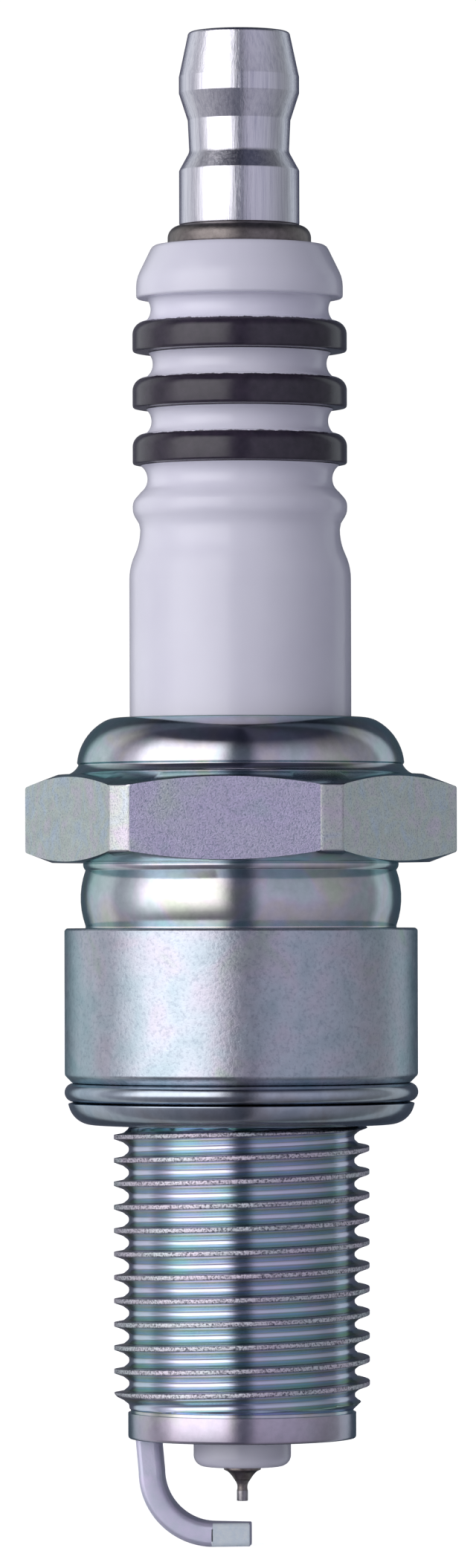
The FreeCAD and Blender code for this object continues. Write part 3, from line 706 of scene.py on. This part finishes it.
def joinThread(bm, size, low, lowRadius, high, highRadius):
    # winds the thread between two levels, runs it out through a cone at each end, and joins its rims to the
    # body's open rims, which wait a small gap away
    skin = helixSkin(threadProfile(size), size["pitch"], size["crestAtX"], low, high, size["stepsPerTurn"])
    for vertex in skin.verts:
        height = vertex.co.z / mm
        limit = min(lowRadius + (height - low) * size["runOut"],
                    highRadius + (high - height) * size["runOut"])
        if radiusOf(vertex.co) > limit:
            setRadius(vertex, max(limit, lowRadius / 2))
    for level, radius, keepAbove in ((low, lowRadius, True), (high, highRadius, False)):
        cutLevel(skin, level, keepAbove)
        rim = {vertex for edge in rimEdges(skin, level) for vertex in edge.verts}
        for vertex in rim:
            setRadius(vertex, radius)
        bmesh.ops.remove_doubles(skin, verts=list(rim), dist=size["rimMerge"] * mm)
    wound = bpy.data.meshes.new("wound")
    skin.to_mesh(wound)
    skin.free()
    bm.from_mesh(wound)
    bpy.data.meshes.remove(wound)
    for level, bodyLevel in ((low, low - size["rimGap"]), (high, high + size["rimGap"])):
        bmesh.ops.bridge_loops(bm, edges=rimEdges(bm, level) + rimEdges(bm, bodyLevel))
    bmesh.ops.recalc_face_normals(bm, faces=bm.faces)
    depth = bm.verts.layers.float.new("depth")
    for vertex in bm.verts:
        share = (size["crest"] - radiusOf(vertex.co)) / (size["crest"] - size["root"])
        vertex[depth] = min(max(share, 0), 1)


def cutHexagon(bm):
    # the front and back flats keep the full size, and the sides lie a little closer, as forged
    for side in range(6):
        distance = shell["hexFlats"] if side % 3 == 0 else shell["hexSides"]
        turn = math.radians(60 * side - 90)
        facing = Vector((math.cos(turn), math.sin(turn), 0))
        everything = bm.verts[:] + bm.edges[:] + bm.faces[:]
        cut = bmesh.ops.bisect_plane(bm, geom=everything, dist=shell["hexCutReach"] * mm,
                                     plane_co=facing * distance * mm, plane_no=facing, clear_outer=True)
        loop = [item for item in cut["geom_cut"] if isinstance(item, bmesh.types.BMEdge)]
        for vertex in {end for edge in loop for end in edge.verts}:
            vertex.co -= facing * (vertex.co.dot(facing) - distance * mm)
        bmesh.ops.edgeloop_fill(bm, edges=loop)


def makeShell():
    top = levels["shellTop"]
    seat = levels["seat"]
    end = levels["shellEnd"]
    barrelTop = seat + shell["barrelHeight"]
    hexBottom = barrelTop + shell["buckleHeight"]
    hexTop = hexBottom + shell["hexHeight"]
    threadTop = seat - thread["reliefLength"]
    pilotTop = end + thread["pilotLength"]
    threadBottom = pilotTop + thread["pilotGrooveLength"]
    corner = shell["hexCorners"]
    topRise = (corner - shell["hexTopFace"]) * shell["hexChamfer"]
    bottomRise = (corner - shell["hexBottomFace"]) * shell["hexChamfer"]
    inner = shell["buckleRadius"] - shell["buckleGroove"]
    crease = hexTop + shell["crimpFoot"]
    packingEnd = barrelTop - shell["packingEnd"]
    ledge = seat - shell["ledgeDepth"]
    throat = ledge - shell["throatCone"]
    throatEnd = throat - shell["throatLength"]
    points = trace([
        (thread["relief"], threadTop + thread["rimGap"]),
        (thread["relief"], seat, 0.1),
        (shell["seatFace"], seat, 0.04),
        (shell["barrelRadius"], seat + shell["seatCone"], 0.1),
        (shell["barrelRadius"], barrelTop - shell["barrelBevel"], 0.05),
        (shell["barrelRadius"] - shell["barrelBevel"], barrelTop, 0.05),
        (inner, barrelTop, 0.05),
        (inner, barrelTop + shell["buckleFoot"], 0.05),
        (inner, hexBottom - shell["buckleLip"], "left", shell["buckleRound"]),
        (shell["buckleRadius"], hexBottom, "left", shell["buckleLip"]),
        (shell["hexBottomFace"], hexBottom, 0.1),
        (corner, hexBottom + bottomRise, 0.1),
        (corner, hexTop - topRise, 0.1),
        (shell["hexTopFace"], hexTop, 0.1),
        (shell["skirtRadius"], hexTop, 0.05),
        (shell["crimpCrease"], crease - shell["creaseHeight"], "right", shell["skirtRound"]),
        (shell["crimpRadius"], crease, 0.04),
        (shell["crownRadius"], top - shell["crownDrop"], "left", shell["crimpRound"]),
        (shell["topRadius"], top, "left", shell["crownRound"]),
        (shell["boreRadius"], top, 0.1),
        (shell["boreRadius"], top - shell["boreDepth"], 0.1),
        (shell["packingRadius"], levels["talcTop"], "right", shell["packingRound"]),
        (shell["packingRadius"], packingEnd, 0.1),
        (shell["ledgeRadius"], packingEnd - shell["ledgeCone"], 0.2),
        (shell["ledgeRadius"], ledge, 0.1),
        (shell["throatRadius"], throat, 0.1),
        (shell["throatRadius"], throatEnd, 0.1),
        (shell["mouthRadius"], throatEnd - shell["mouthCone"], 0.1),
        (shell["mouthRadius"], end, 0.08),
        (thread["pilot"], end, 0.16),
        (thread["pilot"], pilotTop, 0.04),
        (thread["pilotGroove"], pilotTop, 0.02),
        (thread["pilotGroove"], threadBottom - thread["rimGap"]),
    ], closed=False)
    bm = turned(points, closed=False, steps=shell["turnSteps"])
    cutHexagon(bm)
    joinThread(bm, thread, threadBottom, thread["pilotGroove"], threadTop, thread["relief"])
    for face in bm.faces:
        middle = face.calc_center_median() / mm
        radius = math.hypot(middle.x, middle.y)
        upright = abs(face.normal.z) < kindFrom["upright"]
        kind = "crimp"
        if radius > kindFrom["pilot"] and middle.z < pilotTop:
            kind = "pilot"
        elif radius > kindFrom["thread"] and middle.z < threadTop:
            kind = "thread"
        elif radius > kindFrom["barrel"] and seat < middle.z < barrelTop:
            kind = "barrel"
        elif radius > kindFrom["hex"] and hexBottom < middle.z < hexTop and upright:
            # flats turned to the front or back get painted shade, the side flats painted light
            kind = "hex" if abs(face.normal.y) > kindFrom["facing"] else "litHexSide"
        elif radius < shell["lipRadius"] and middle.z > top - shell["lipDepth"]:
            kind = "lip"
        face.material_index = shellKinds.index(kind)
    finishes = [threadFinish() if kind == "thread" else platedFinish(kind + "Plating", kind)
                for kind in shellKinds]
    addPiece(bm, "shellBody", "plug", ["shell"], finishes)


makeShell()


# gasket: one steel sheet folded to an S, its rim rolled, its lower lip dished

gasket = {
    "hole": 6.72,
    "topHole": 7.0,
    "sheet": 0.3,
    "rollHeight": 1.0,
    "radius": 9.45,
    "flatRadius": 7.96,
    "dish": 1.3,
    "flare": math.radians(74),
    "lip": 9.265,
    "turnSteps": 240,
}


def makeGasket():
    height = highest("gasket").z
    sheet = gasket["sheet"]
    bend = (height - gasket["rollHeight"] + sheet) / 2
    fold = gasket["hole"] + bend
    roll = gasket["rollHeight"] / 2
    rollCentre = gasket["radius"] - roll
    sine, cosine = math.sin(gasket["flare"]), math.cos(gasket["flare"])
    dish = gasket["flatRadius"] + gasket["dish"] * sine
    climb = gasket["dish"] * (1 - cosine)
    lipLevel = climb + (gasket["lip"] - dish) * sine / cosine
    inward, upward = sheet * sine, sheet * cosine
    points = trace([
        (fold, 0, "left", bend),
        (gasket["flatRadius"], 0, 0),
        (dish, climb, "left", gasket["dish"]),
        (gasket["lip"], lipLevel, 0.05),
        (gasket["lip"] - inward, lipLevel + upward, 0.05),
        (dish - inward, climb + upward, 0),
        (gasket["flatRadius"], sheet, "right", gasket["dish"] - sheet),
        (fold, sheet, 0),
        (fold - bend + sheet, bend, "right", bend - sheet),
        (fold, 2 * bend - sheet, "right", bend - sheet),
        (rollCentre, 2 * bend - sheet, 0),
        (rollCentre + roll, height - roll, "left", roll),
        (rollCentre, height, "left", roll),
        (gasket["topHole"], height, 0.08),
        (gasket["topHole"], height - sheet, 0.08),
        (rollCentre, height - sheet, 0),
        (rollCentre + roll - sheet, height - roll, "right", roll - sheet),
        (rollCentre, 2 * bend, "right", roll - sheet),
        (fold, 2 * bend, 0),
        (fold - bend, bend, "left", bend),
    ])
    bm = turned(points, steps=gasket["turnSteps"])
    finish = platedFinish("gasketSteel", "gasket")
    addPiece(bm, "foldedGasket", "gasket", ["gasket"], [finish])


makeGasket()


# terminal nut: turned aluminium on the stud's thread

nut = {
    "radius": 3.22,
    "collarTop": 2.95,
    "waistBottom": 3.95,
    "waistBottomRadius": 2.67,
    "waistTop": 5.65,
    "waistTopRadius": 2.75,
    "bandBottom": 7.1,
    "bandTop": 7.98,
    "topRadius": 2.75,
    "topRound": 0.22,
    "hole": 2.05,
    "mouth": 0.25,
    "sharpAngle": math.radians(12),
}
aluminium = {
    "streaks": [(0.3, (0.60, 0.60, 0.68)), (0.5, (0.80, 0.79, 0.85)), (0.7, (0.90, 0.89, 0.94))],
    "turningShare": 0.12,
    "rough": (0.13, 0.24),
    "edgeTint": (0.82, 0.80, 0.92),
    "grainDepth": 0.012,
}


def aluminiumFinish():
    # drawn bar: fine streaks along the axis and faint turning marks round it
    material, tree = newMaterial("turnedAluminium")
    streaks = noise(tree, scale=7, detail=5, stretch=(1, 1, 0.03), roughness=0.7)
    turning = noise(tree, scale=9, detail=3, stretch=(0.02, 0.02, 1))
    height = calc(tree, "ADD", streaks, calc(tree, "MULTIPLY", turning, aluminium["turningShare"]))
    setShader(tree, {
        "Base Color": ramp(tree, streaks, aluminium["streaks"]),
        "Metallic": 1.0,
        "Roughness": spread(tree, streaks, *aluminium["rough"]),
        "Specular Tint": aluminium["edgeTint"],
        "Normal": bump(tree, height, aluminium["grainDepth"]),
    })
    return material


def makeNut():
    base = levels["nutBottom"]
    top = levels["nutTop"]
    foot = lowest("terminal_nut").z
    points = trace([
        (nut["hole"] + nut["mouth"], foot, 0.05),
        (nut["radius"], foot, 0.12),
        (nut["radius"], base + nut["collarTop"], 0.05),
        (nut["waistBottomRadius"], base + nut["waistBottom"], 0.15),
        (nut["waistTopRadius"], base + nut["waistTop"], 0.2),
        (nut["radius"], base + nut["bandBottom"], 0.05),
        (nut["radius"], base + nut["bandTop"], 0.05),
        (nut["topRadius"], top - nut["topRound"], 0.05),
        (nut["topRadius"] - nut["topRound"], top, "left", nut["topRound"]),
        (nut["hole"] + nut["mouth"], top, 0.05),
        (nut["hole"], top - nut["mouth"], 0.05),
        (nut["hole"], foot + nut["mouth"], 0.05),
    ])
    finishes = [aluminiumFinish()]
    addPiece(turned(points), "terminalNut", "terminal_nut", ["terminal_nut"], finishes,
             nut["sharpAngle"])


makeNut()


# terminal stud: ridged foot in the seal, flange on the insulator, M4 thread above

stud = {
    "shank": 1.75,
    "flange": 3.84,
    "flangeRound": 0.66,
    "undercut": 1.53,
    "undercutLength": 0.8,
    "endBevel": 0.4,
    "ridgePitch": 0.8,
    "ridgeDepth": 0.22,
    "ridgeCount": 5,
    "ridgeFirst": 0.6,
}
studFinish = dict(dark=(0.17, 0.15, 0.145), light=(0.28, 0.25, 0.24), rough=0.32, scale=2.5, grain=0.01)
studThread = {
    "crest": 1.98,
    "root": 1.57,
    "groove": [(1.57, 0.287, 0.06), (1.57, 0.413, 0.06)],
    "pitch": 0.7,
    "crestWidth": 0.1,
    "crestSoft": 0.03,
    "crestAtX": levels["studTop"],
    "endRadius": 1.55,
    "runOut": 1.05,
    "rimGap": 0.05,
    "rimMerge": 0.01,
    "stepsPerTurn": 64,
}


def makeStud():
    flangeTop = levels["nutBottom"]
    low = levels["studEnd"]
    top = levels["studTop"]
    threadLow = flangeTop + stud["undercutLength"]
    threadHigh = top - studThread["rimGap"]
    first = low + stud["endBevel"] + stud["ridgeFirst"]
    notches = []
    for number in range(stud["ridgeCount"]):
        level = first + number * stud["ridgePitch"]
        notches += [
            (stud["shank"], level - stud["ridgeDepth"], 0.03),
            (stud["shank"] - stud["ridgeDepth"], level, 0.03),
            (stud["shank"], level + stud["ridgeDepth"], 0.03),
        ]
    body = trace([
        (0, low),
        (stud["shank"] - stud["endBevel"], low, 0.05),
        (stud["shank"], low + stud["endBevel"], 0.05),
        *notches,
        (stud["shank"], levels["insulatorTop"], 0.05),
        (stud["flange"], levels["insulatorTop"], 0.12),
        (stud["flange"], flangeTop - stud["flangeRound"]),
        (stud["flange"] - stud["flangeRound"], flangeTop, "left", stud["flangeRound"]),
        (stud["undercut"], flangeTop, 0.05),
        (stud["undercut"], threadLow - studThread["rimGap"]),
    ], closed=False)
    cap = [Vector((studThread["endRadius"], top)), Vector((0, top))]
    bm = turned(body, closed=False)
    turnOutline(bm, cap, closed=False, steps=shaping["turnSteps"])
    joinThread(bm, studThread, threadLow, stud["undercut"], threadHigh, studThread["endRadius"])
    finish = steelFinish("studSteel", **studFinish)
    addPiece(bm, "terminalStud", "plug", ["terminal_stud"], [finish])


makeStud()


# centre electrode, its weld and its fine tip

electrode = {
    "copperRadius": 0.65,
    "copperLength": 14.5,
    "copperPoint": 0.8,
    "headRadius": 1.7,
    "headHeight": 2.1,
    "headCone": 0.6,
    "radius": 1.25,
    "noseRecess": 0.3,
    "rimRadius": 0.99,
    "rimHeight": 0.19,
    "noseRadius": 0.8,
    "noseLength": 0.27,
    "coneRound": 1.5,
    "weldRadius": 0.42,
    "tipRadius": 0.3,
    "fineSteps": 96,
}
nickelFinish = dict(dark=(0.17, 0.14, 0.13), light=(0.32, 0.28, 0.27), rough=0.3, scale=2.5, grain=0.008)
weldFinish = dict(dark=(0.20, 0.17, 0.16), light=(0.34, 0.31, 0.30), rough=0.3, scale=5, grain=0.012)
tipFinish = dict(dark=(0.26, 0.25, 0.26), light=(0.42, 0.40, 0.42), rough=0.3, scale=6, grain=0.006)


def makeElectrode():
    size = electrode
    top = levels["electrodeTop"]
    end = levels["noseEnd"]
    weldTop = levels["weldTop"]
    weldEnd = levels["weldEnd"]
    tipEnd = levels["tipEnd"]
    copperEnd = top - size["copperLength"]
    headLow = top - size["headHeight"]
    sheath = trace([
        (0, copperEnd),
        (size["copperRadius"], copperEnd + size["copperPoint"], 0.05),
        (size["copperRadius"], top, 0.03),
        (size["headRadius"], top, 0.1),
        (size["headRadius"], headLow, 0.05),
        (size["radius"], headLow - size["headCone"], 0.05),
        (size["radius"], end + size["noseRecess"], 0.05),
        (size["rimRadius"], end, 0.02),
        (size["rimRadius"], end - size["rimHeight"], 0.03),
        (size["noseRadius"], end - size["noseLength"], 0.03),
        (size["weldRadius"], weldTop, "left", size["coneRound"]),
        (0, weldTop),
    ], closed=False)
    weld = trace([
        (0, weldTop),
        (size["weldRadius"], weldTop, 0.02),
        (size["tipRadius"], weldEnd, "left", weldTop - weldEnd),
        (0, weldEnd),
    ], closed=False)
    tip = trace([
        (0, weldEnd),
        (size["tipRadius"], weldEnd, 0.01),
        (size["tipRadius"], tipEnd, 0.03),
        (0, tipEnd),
    ], closed=False)
    nickel = steelFinish("electrodeNickel", **nickelFinish)
    welded = steelFinish("laserWeld", **weldFinish)
    precious = steelFinish("tipMetal", **tipFinish)
    fine = {"closed": False, "steps": size["fineSteps"]}
    addPiece(turned(sheath, closed=False), "centreElectrode", "plug", ["centre_electrode"],
             [nickel])
    addPiece(turned(weld, **fine), "tipWeld", "plug", ["tip_weld"], [welded])
    addPiece(turned(tip, **fine), "firingTip", "plug", ["firing_tip"], [precious])


makeElectrode()


# ground electrode: nickel strap bent under the tip, its free end cut to a taper

strap = {
    "width": 2.6,
    "thickness": 1.25,
    "edgeRound": 0.3,
    "outerRadius": -lowest("ground_electrode").x,
    "bend": 3.35,
    "lean": 0.16,
    "overhang": highest("ground_electrode").x,
    "tipWidth": 1.5,
    "taperLength": 2.0,
    "bendSteps": 24,
    "edgeSteps": 8,
    "endEdge": 0.05,
    "endSteps": 2,
    "sharpAngle": math.radians(13),
}
strapFinish = dict(dark=(0.60, 0.63, 0.76), light=(0.72, 0.67, 0.86), rough=0.38, scale=1.2,
                   grain=0.006, metallic=0.6)
# the cut taper faces: painted reflection, a light blue, nearly white and barely metallic colour where the
# faces look lit
cutPaintedReflection = dict(dark=(0.78, 0.88, 0.96), light=(0.90, 0.97, 1.0), rough=0.5, scale=4, grain=0.015,
                 metallic=0.2)


def makeStrap():
    # a square of one millimetre, stretched to the section, then drawn down, bent and tapered
    bm = bmesh.new()
    centreX = -strap["outerRadius"] + strap["thickness"] / 2
    bendX = centreX + strap["lean"] + strap["bend"]
    bendZ = levels["strapEnd"] + strap["thickness"] / 2 + strap["bend"]
    section = bmesh.ops.create_grid(bm, x_segments=1, y_segments=1, size=0.5 * mm)["verts"]
    bmesh.ops.scale(bm, vec=(strap["thickness"], strap["width"], 1), verts=section)
    bmesh.ops.translate(bm, vec=(centreX * mm, 0, levels["shellEnd"] * mm), verts=section)
    bmesh.ops.bevel(bm, geom=section, offset=strap["edgeRound"] * mm, offset_type="OFFSET",
                    segments=strap["edgeSteps"], profile=0.5, affect="VERTICES", material=-1)
    face = bm.faces[:][0]

    def runOn(move, squeeze=1.0):
        nonlocal face
        grown = bmesh.ops.extrude_face_region(bm, geom=[face])["geom"]
        bmesh.ops.delete(bm, geom=[face], context="FACES_ONLY")
        face = next(item for item in grown if isinstance(item, bmesh.types.BMFace))
        bmesh.ops.translate(bm, vec=[step * mm for step in move], verts=face.verts)
        bmesh.ops.scale(bm, vec=(1, squeeze, 1), verts=face.verts)

    runOn((strap["lean"], 0, bendZ - levels["shellEnd"]))
    bent = bmesh.ops.spin(bm, geom=[face], cent=(bendX * mm, 0, bendZ * mm), axis=(0, -1, 0),
                          angle=math.pi / 2, steps=strap["bendSteps"])
    bmesh.ops.delete(bm, geom=[face], context="FACES_ONLY")
    face = next(item for item in bent["geom_last"] if isinstance(item, bmesh.types.BMFace))
    taperStart = strap["overhang"] - strap["taperLength"]
    runOn((taperStart - bendX, 0, 0))
    runOn((strap["taperLength"], 0, 0), squeeze=strap["tipWidth"] / strap["width"])
    bmesh.ops.bevel(bm, geom=list(face.edges), offset=strap["endEdge"] * mm, offset_type="OFFSET",
                    segments=strap["endSteps"], profile=0.5, affect="EDGES", material=-1)
    bmesh.ops.holes_fill(bm, edges=[edge for edge in bm.edges if edge.is_boundary])
    bmesh.ops.recalc_face_normals(bm, faces=bm.faces)
    # the taper's side faces take the painted-reflection finish
    for flat in bm.faces:
        middle = flat.calc_center_median() / mm
        if middle.x > taperStart and abs(middle.y) > strap["tipWidth"] / 2 - strap["endEdge"]:
            flat.material_index = 1
    finishes = [steelFinish("strapNickel", **strapFinish), steelFinish("strapCutPaintedReflection", **cutPaintedReflection)]
    addPiece(bm, "groundElectrode", "plug", ["ground_electrode"], finishes,
             strap["sharpAngle"])


makeStrap()


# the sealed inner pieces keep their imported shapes: each has a slot and a finish

sealFinish = dict(dark=(0.16, 0.12, 0.10), light=(0.34, 0.24, 0.18), rough=0.3, scale=3.0, metallic=0.0)
resistorFinish = dict(dark=(0.03, 0.03, 0.03), light=(0.10, 0.095, 0.09), rough=0.7, scale=5.0,
                      metallic=0.0)
copperFinish = dict(dark=(0.72, 0.36, 0.22), light=(0.86, 0.46, 0.30), rough=0.3)
washerFinish = dict(dark=(0.42, 0.43, 0.45), light=(0.58, 0.58, 0.60), rough=0.35)
packingFinish = dict(dark=(0.40, 0.41, 0.43), light=(0.56, 0.56, 0.58), rough=0.35)
talcFinish = dict(dark=(0.70, 0.69, 0.66), light=(0.82, 0.81, 0.78), rough=0.85, scale=4.0, metallic=0.0)
innerPieces = {
    "upper_glass_seal": ("conductive_glass", sealFinish),
    "lower_glass_seal": ("conductive_glass", sealFinish),
    "resistor": ("resistor_body", resistorFinish),
    "copper_core": ("copper", copperFinish),
    "seat_washer": ("packing_steel", washerFinish),
    "lower_packing_ring": ("packing_steel", packingFinish),
    "upper_packing_ring": ("packing_steel", packingFinish),
    "talc_fill": ("talc", talcFinish),
}


def dressInnerPieces():
    for name, (slot, finish) in innerPieces.items():
        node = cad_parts[name]
        node.data.materials.clear()
        node.data.materials.append(steelFinish(name + "Finish", **finish))
    print("inner pieces dressed:", len(innerPieces))


dressInnerPieces()


# studio: pale floor, a grey room with one large soft light on the left, and the camera

studio = {
    "floorRadius": 3.0,
    "floorSides": 96,
    "floorGap": 0.02,
    "floorColour": (0.86, 0.86, 0.88),
    "floorGlow": 0.85,
    "keyRadiance": 1.9,      # the soft light as the metal mirrors it
    "keyColour": (1.0, 0.99, 1.01),
    "lampAngle": -54,
    "lampDistance": 0.8,
    "lampSize": 0.5,
    "lampLift": 0.15,
    "lampRadiance": 1.75,
    "backdrop": (1.05, 1.05, 1.05),
}
view = {
    "azimuth": 4.6,
    "elevation": -0.875,
    "roll": 0.14,
    "distance": 0.445,
    "lens": 190.95,
    "aimHeight": 18.2,
    "aimLeft": 0.143,
    "sensor": 36,
    "nearest": 0.01,
    "farthest": 20,
}

# the room's brightness all round, by azimuth in degrees from the camera's side (left is negative), and
# upwards, from -1 straight below to 1 straight above
roomWalls = [
    (-180, (0.12, 0.12, 0.15)), (-150, (0.14, 0.15, 0.18)), (-138, (0.72, 0.76, 0.78)),
    (-112, (0.78, 0.80, 0.83)), (-102, (0.48, 0.48, 0.53)), (-14, (0.24, 0.24, 0.30)),
    (-3, (0.11, 0.12, 0.16)), (6, (0.11, 0.12, 0.16)), (15, (0.50, 0.49, 0.59)),
    (50, (0.45, 0.45, 0.54)), (94, (0.28, 0.29, 0.32)), (112, (0.28, 0.30, 0.32)),
    (120, (0.56, 0.61, 0.64)), (136, (0.54, 0.58, 0.61)), (143, (0.10, 0.11, 0.14)),
    (180, (0.08, 0.09, 0.12)),
]
roomOverhead = [
    (-1.0, 0.4), (-0.4, 0.8), (0.0, 1.0), (0.3, 1.0), (0.5, 0.8), (0.66, 0.5),
    (0.8, (0.13, 0.14, 0.18)), (1.0, (0.12, 0.13, 0.17)),
]
# how far the soft light fills the room, by azimuth and by height
keyAround = [
    (-96, 0.0), (-84, 0.22), (-72, 0.85), (-60, 1.0), (-25, 1.0), (-16, 0.8), (-10, 0.25), (-6, 0.0),
]
keyUp = [(-0.45, 0.0), (-0.34, 0.12), (-0.16, 0.7), (0.0, 1.0), (0.5, 1.0), (0.68, 0.6), (0.8, 0.0)]


def sideVector(azimuth, elevation=0.0):
    # away from the plug, towards a place that an azimuth and an elevation give
    turn = math.radians(azimuth)
    lift = math.radians(elevation)
    return Vector((math.sin(turn) * math.cos(lift), -math.cos(turn) * math.cos(lift), math.sin(lift)))


def makeFloor():
    bm = bmesh.new()
    bmesh.ops.create_circle(bm, cap_ends=True, segments=studio["floorSides"], radius=studio["floorRadius"])
    level = cadBox[0].z - studio["floorGap"] * mm
    bmesh.ops.translate(bm, vec=(0, 0, level), verts=bm.verts)
    mesh = bpy.data.meshes.new("floor")
    bm.to_mesh(mesh)
    bm.free()
    floor = placeObject("floor", mesh)
    floor.visible_glossy = False
    material, tree = newMaterial("paleFloor")
    seen = addNode(tree, "LightPath").outputs["Is Camera Ray"]
    glow = addNode(tree, "Emission", {"Strength": spread(tree, seen, 0.0, studio["floorGlow"])})
    paint = addNode(tree, "BsdfDiffuse", {"Color": (*studio["floorColour"], 1)})
    both = addNode(tree, "AddShader", {0: glow.outputs[0], 1: paint.outputs[0]})
    output = addNode(tree, "OutputMaterial")
    tree.links.new(both.outputs[0], output.inputs["Surface"])
    mesh.materials.append(material)


def roundRamp(tree, place, stops):
    return ramp(tree, place, [(0.5 + degrees / 360, shade) for degrees, shade in stops])


def heightRamp(tree, place, stops):
    return ramp(tree, place, [(0.5 + height / 2, shade) for height, shade in stops])


def makeRoom():
    world = bpy.data.worlds.new("studio")
    bpy.context.scene.world = world
    world.use_nodes = True
    tree = world.node_tree
    tree.nodes.clear()
    direction = addNode(tree, "TexCoord").outputs["Generated"]
    turned = addNode(tree, "VectorRotate", {"Vector": direction, "Angle": -math.radians(view["azimuth"])},
                     rotation_type="Z_AXIS").outputs[0]
    parts = addNode(tree, "SeparateXYZ", {"Vector": turned})
    back = calc(tree, "MULTIPLY", parts.outputs["Y"], -1.0)
    azimuth = calc(tree, "ARCTAN2", parts.outputs["X"], back)
    place = spread(tree, azimuth, 0.0, 1.0, -math.pi, math.pi)
    height = spread(tree, parts.outputs["Z"], 0.0, 1.0, -1.0, 1.0)
    around = roundRamp(tree, place, roomWalls)
    overhead = heightRamp(tree, height, roomOverhead)
    walls = blendColour(tree, 1.0, around, overhead, "MULTIPLY")
    key = calc(tree, "MULTIPLY", roundRamp(tree, place, keyAround), heightRamp(tree, height, keyUp))
    lit = tuple(studio["keyRadiance"] * share for share in studio["keyColour"])
    room = blendColour(tree, key, walls, lit)
    seen = addNode(tree, "LightPath").outputs["Is Camera Ray"]
    colour = blendColour(tree, seen, room, studio["backdrop"])
    background = addNode(tree, "Background", {"Color": colour})
    output = addNode(tree, "OutputWorld")
    tree.links.new(background.outputs[0], output.inputs["Surface"])


def makeLamp():
    # the same soft light for the unglossy surfaces
    light = bpy.data.lights.new("softKey", "AREA")
    light.shape = "SQUARE"
    light.size = studio["lampSize"]
    light.energy = studio["lampRadiance"] * math.pi * studio["lampSize"] ** 2
    lamp = placeObject("softKey", light)
    place = sideVector(view["azimuth"] + studio["lampAngle"]) * studio["lampDistance"]
    place.z = studio["lampLift"]
    lamp.location = place
    lamp.rotation_euler = place.to_track_quat("Z", "Y").to_euler()
    lamp.visible_glossy = False


def makeCamera():
    lens = bpy.data.cameras.new("camera")
    lens.lens = view["lens"]
    lens.sensor_width = view["sensor"]
    lens.clip_start = view["nearest"]
    lens.clip_end = view["farthest"]
    camera = placeObject("camera", lens)
    back = sideVector(view["azimuth"], view["elevation"])
    right = sideVector(view["azimuth"] + 90)
    aim = Vector((0, 0, view["aimHeight"] * mm)) - right * view["aimLeft"] * mm
    camera.location = aim + back * view["distance"]
    upright = back.to_track_quat("Z", "Y")
    camera.rotation_euler = (upright @ Quaternion((0, 0, 1), math.radians(-view["roll"]))).to_euler()
    bpy.context.scene.camera = camera


makeFloor()
makeRoom()
makeLamp()
makeCamera()
bpy.context.scene.view_settings.view_transform = "Standard"
print("studio ready")
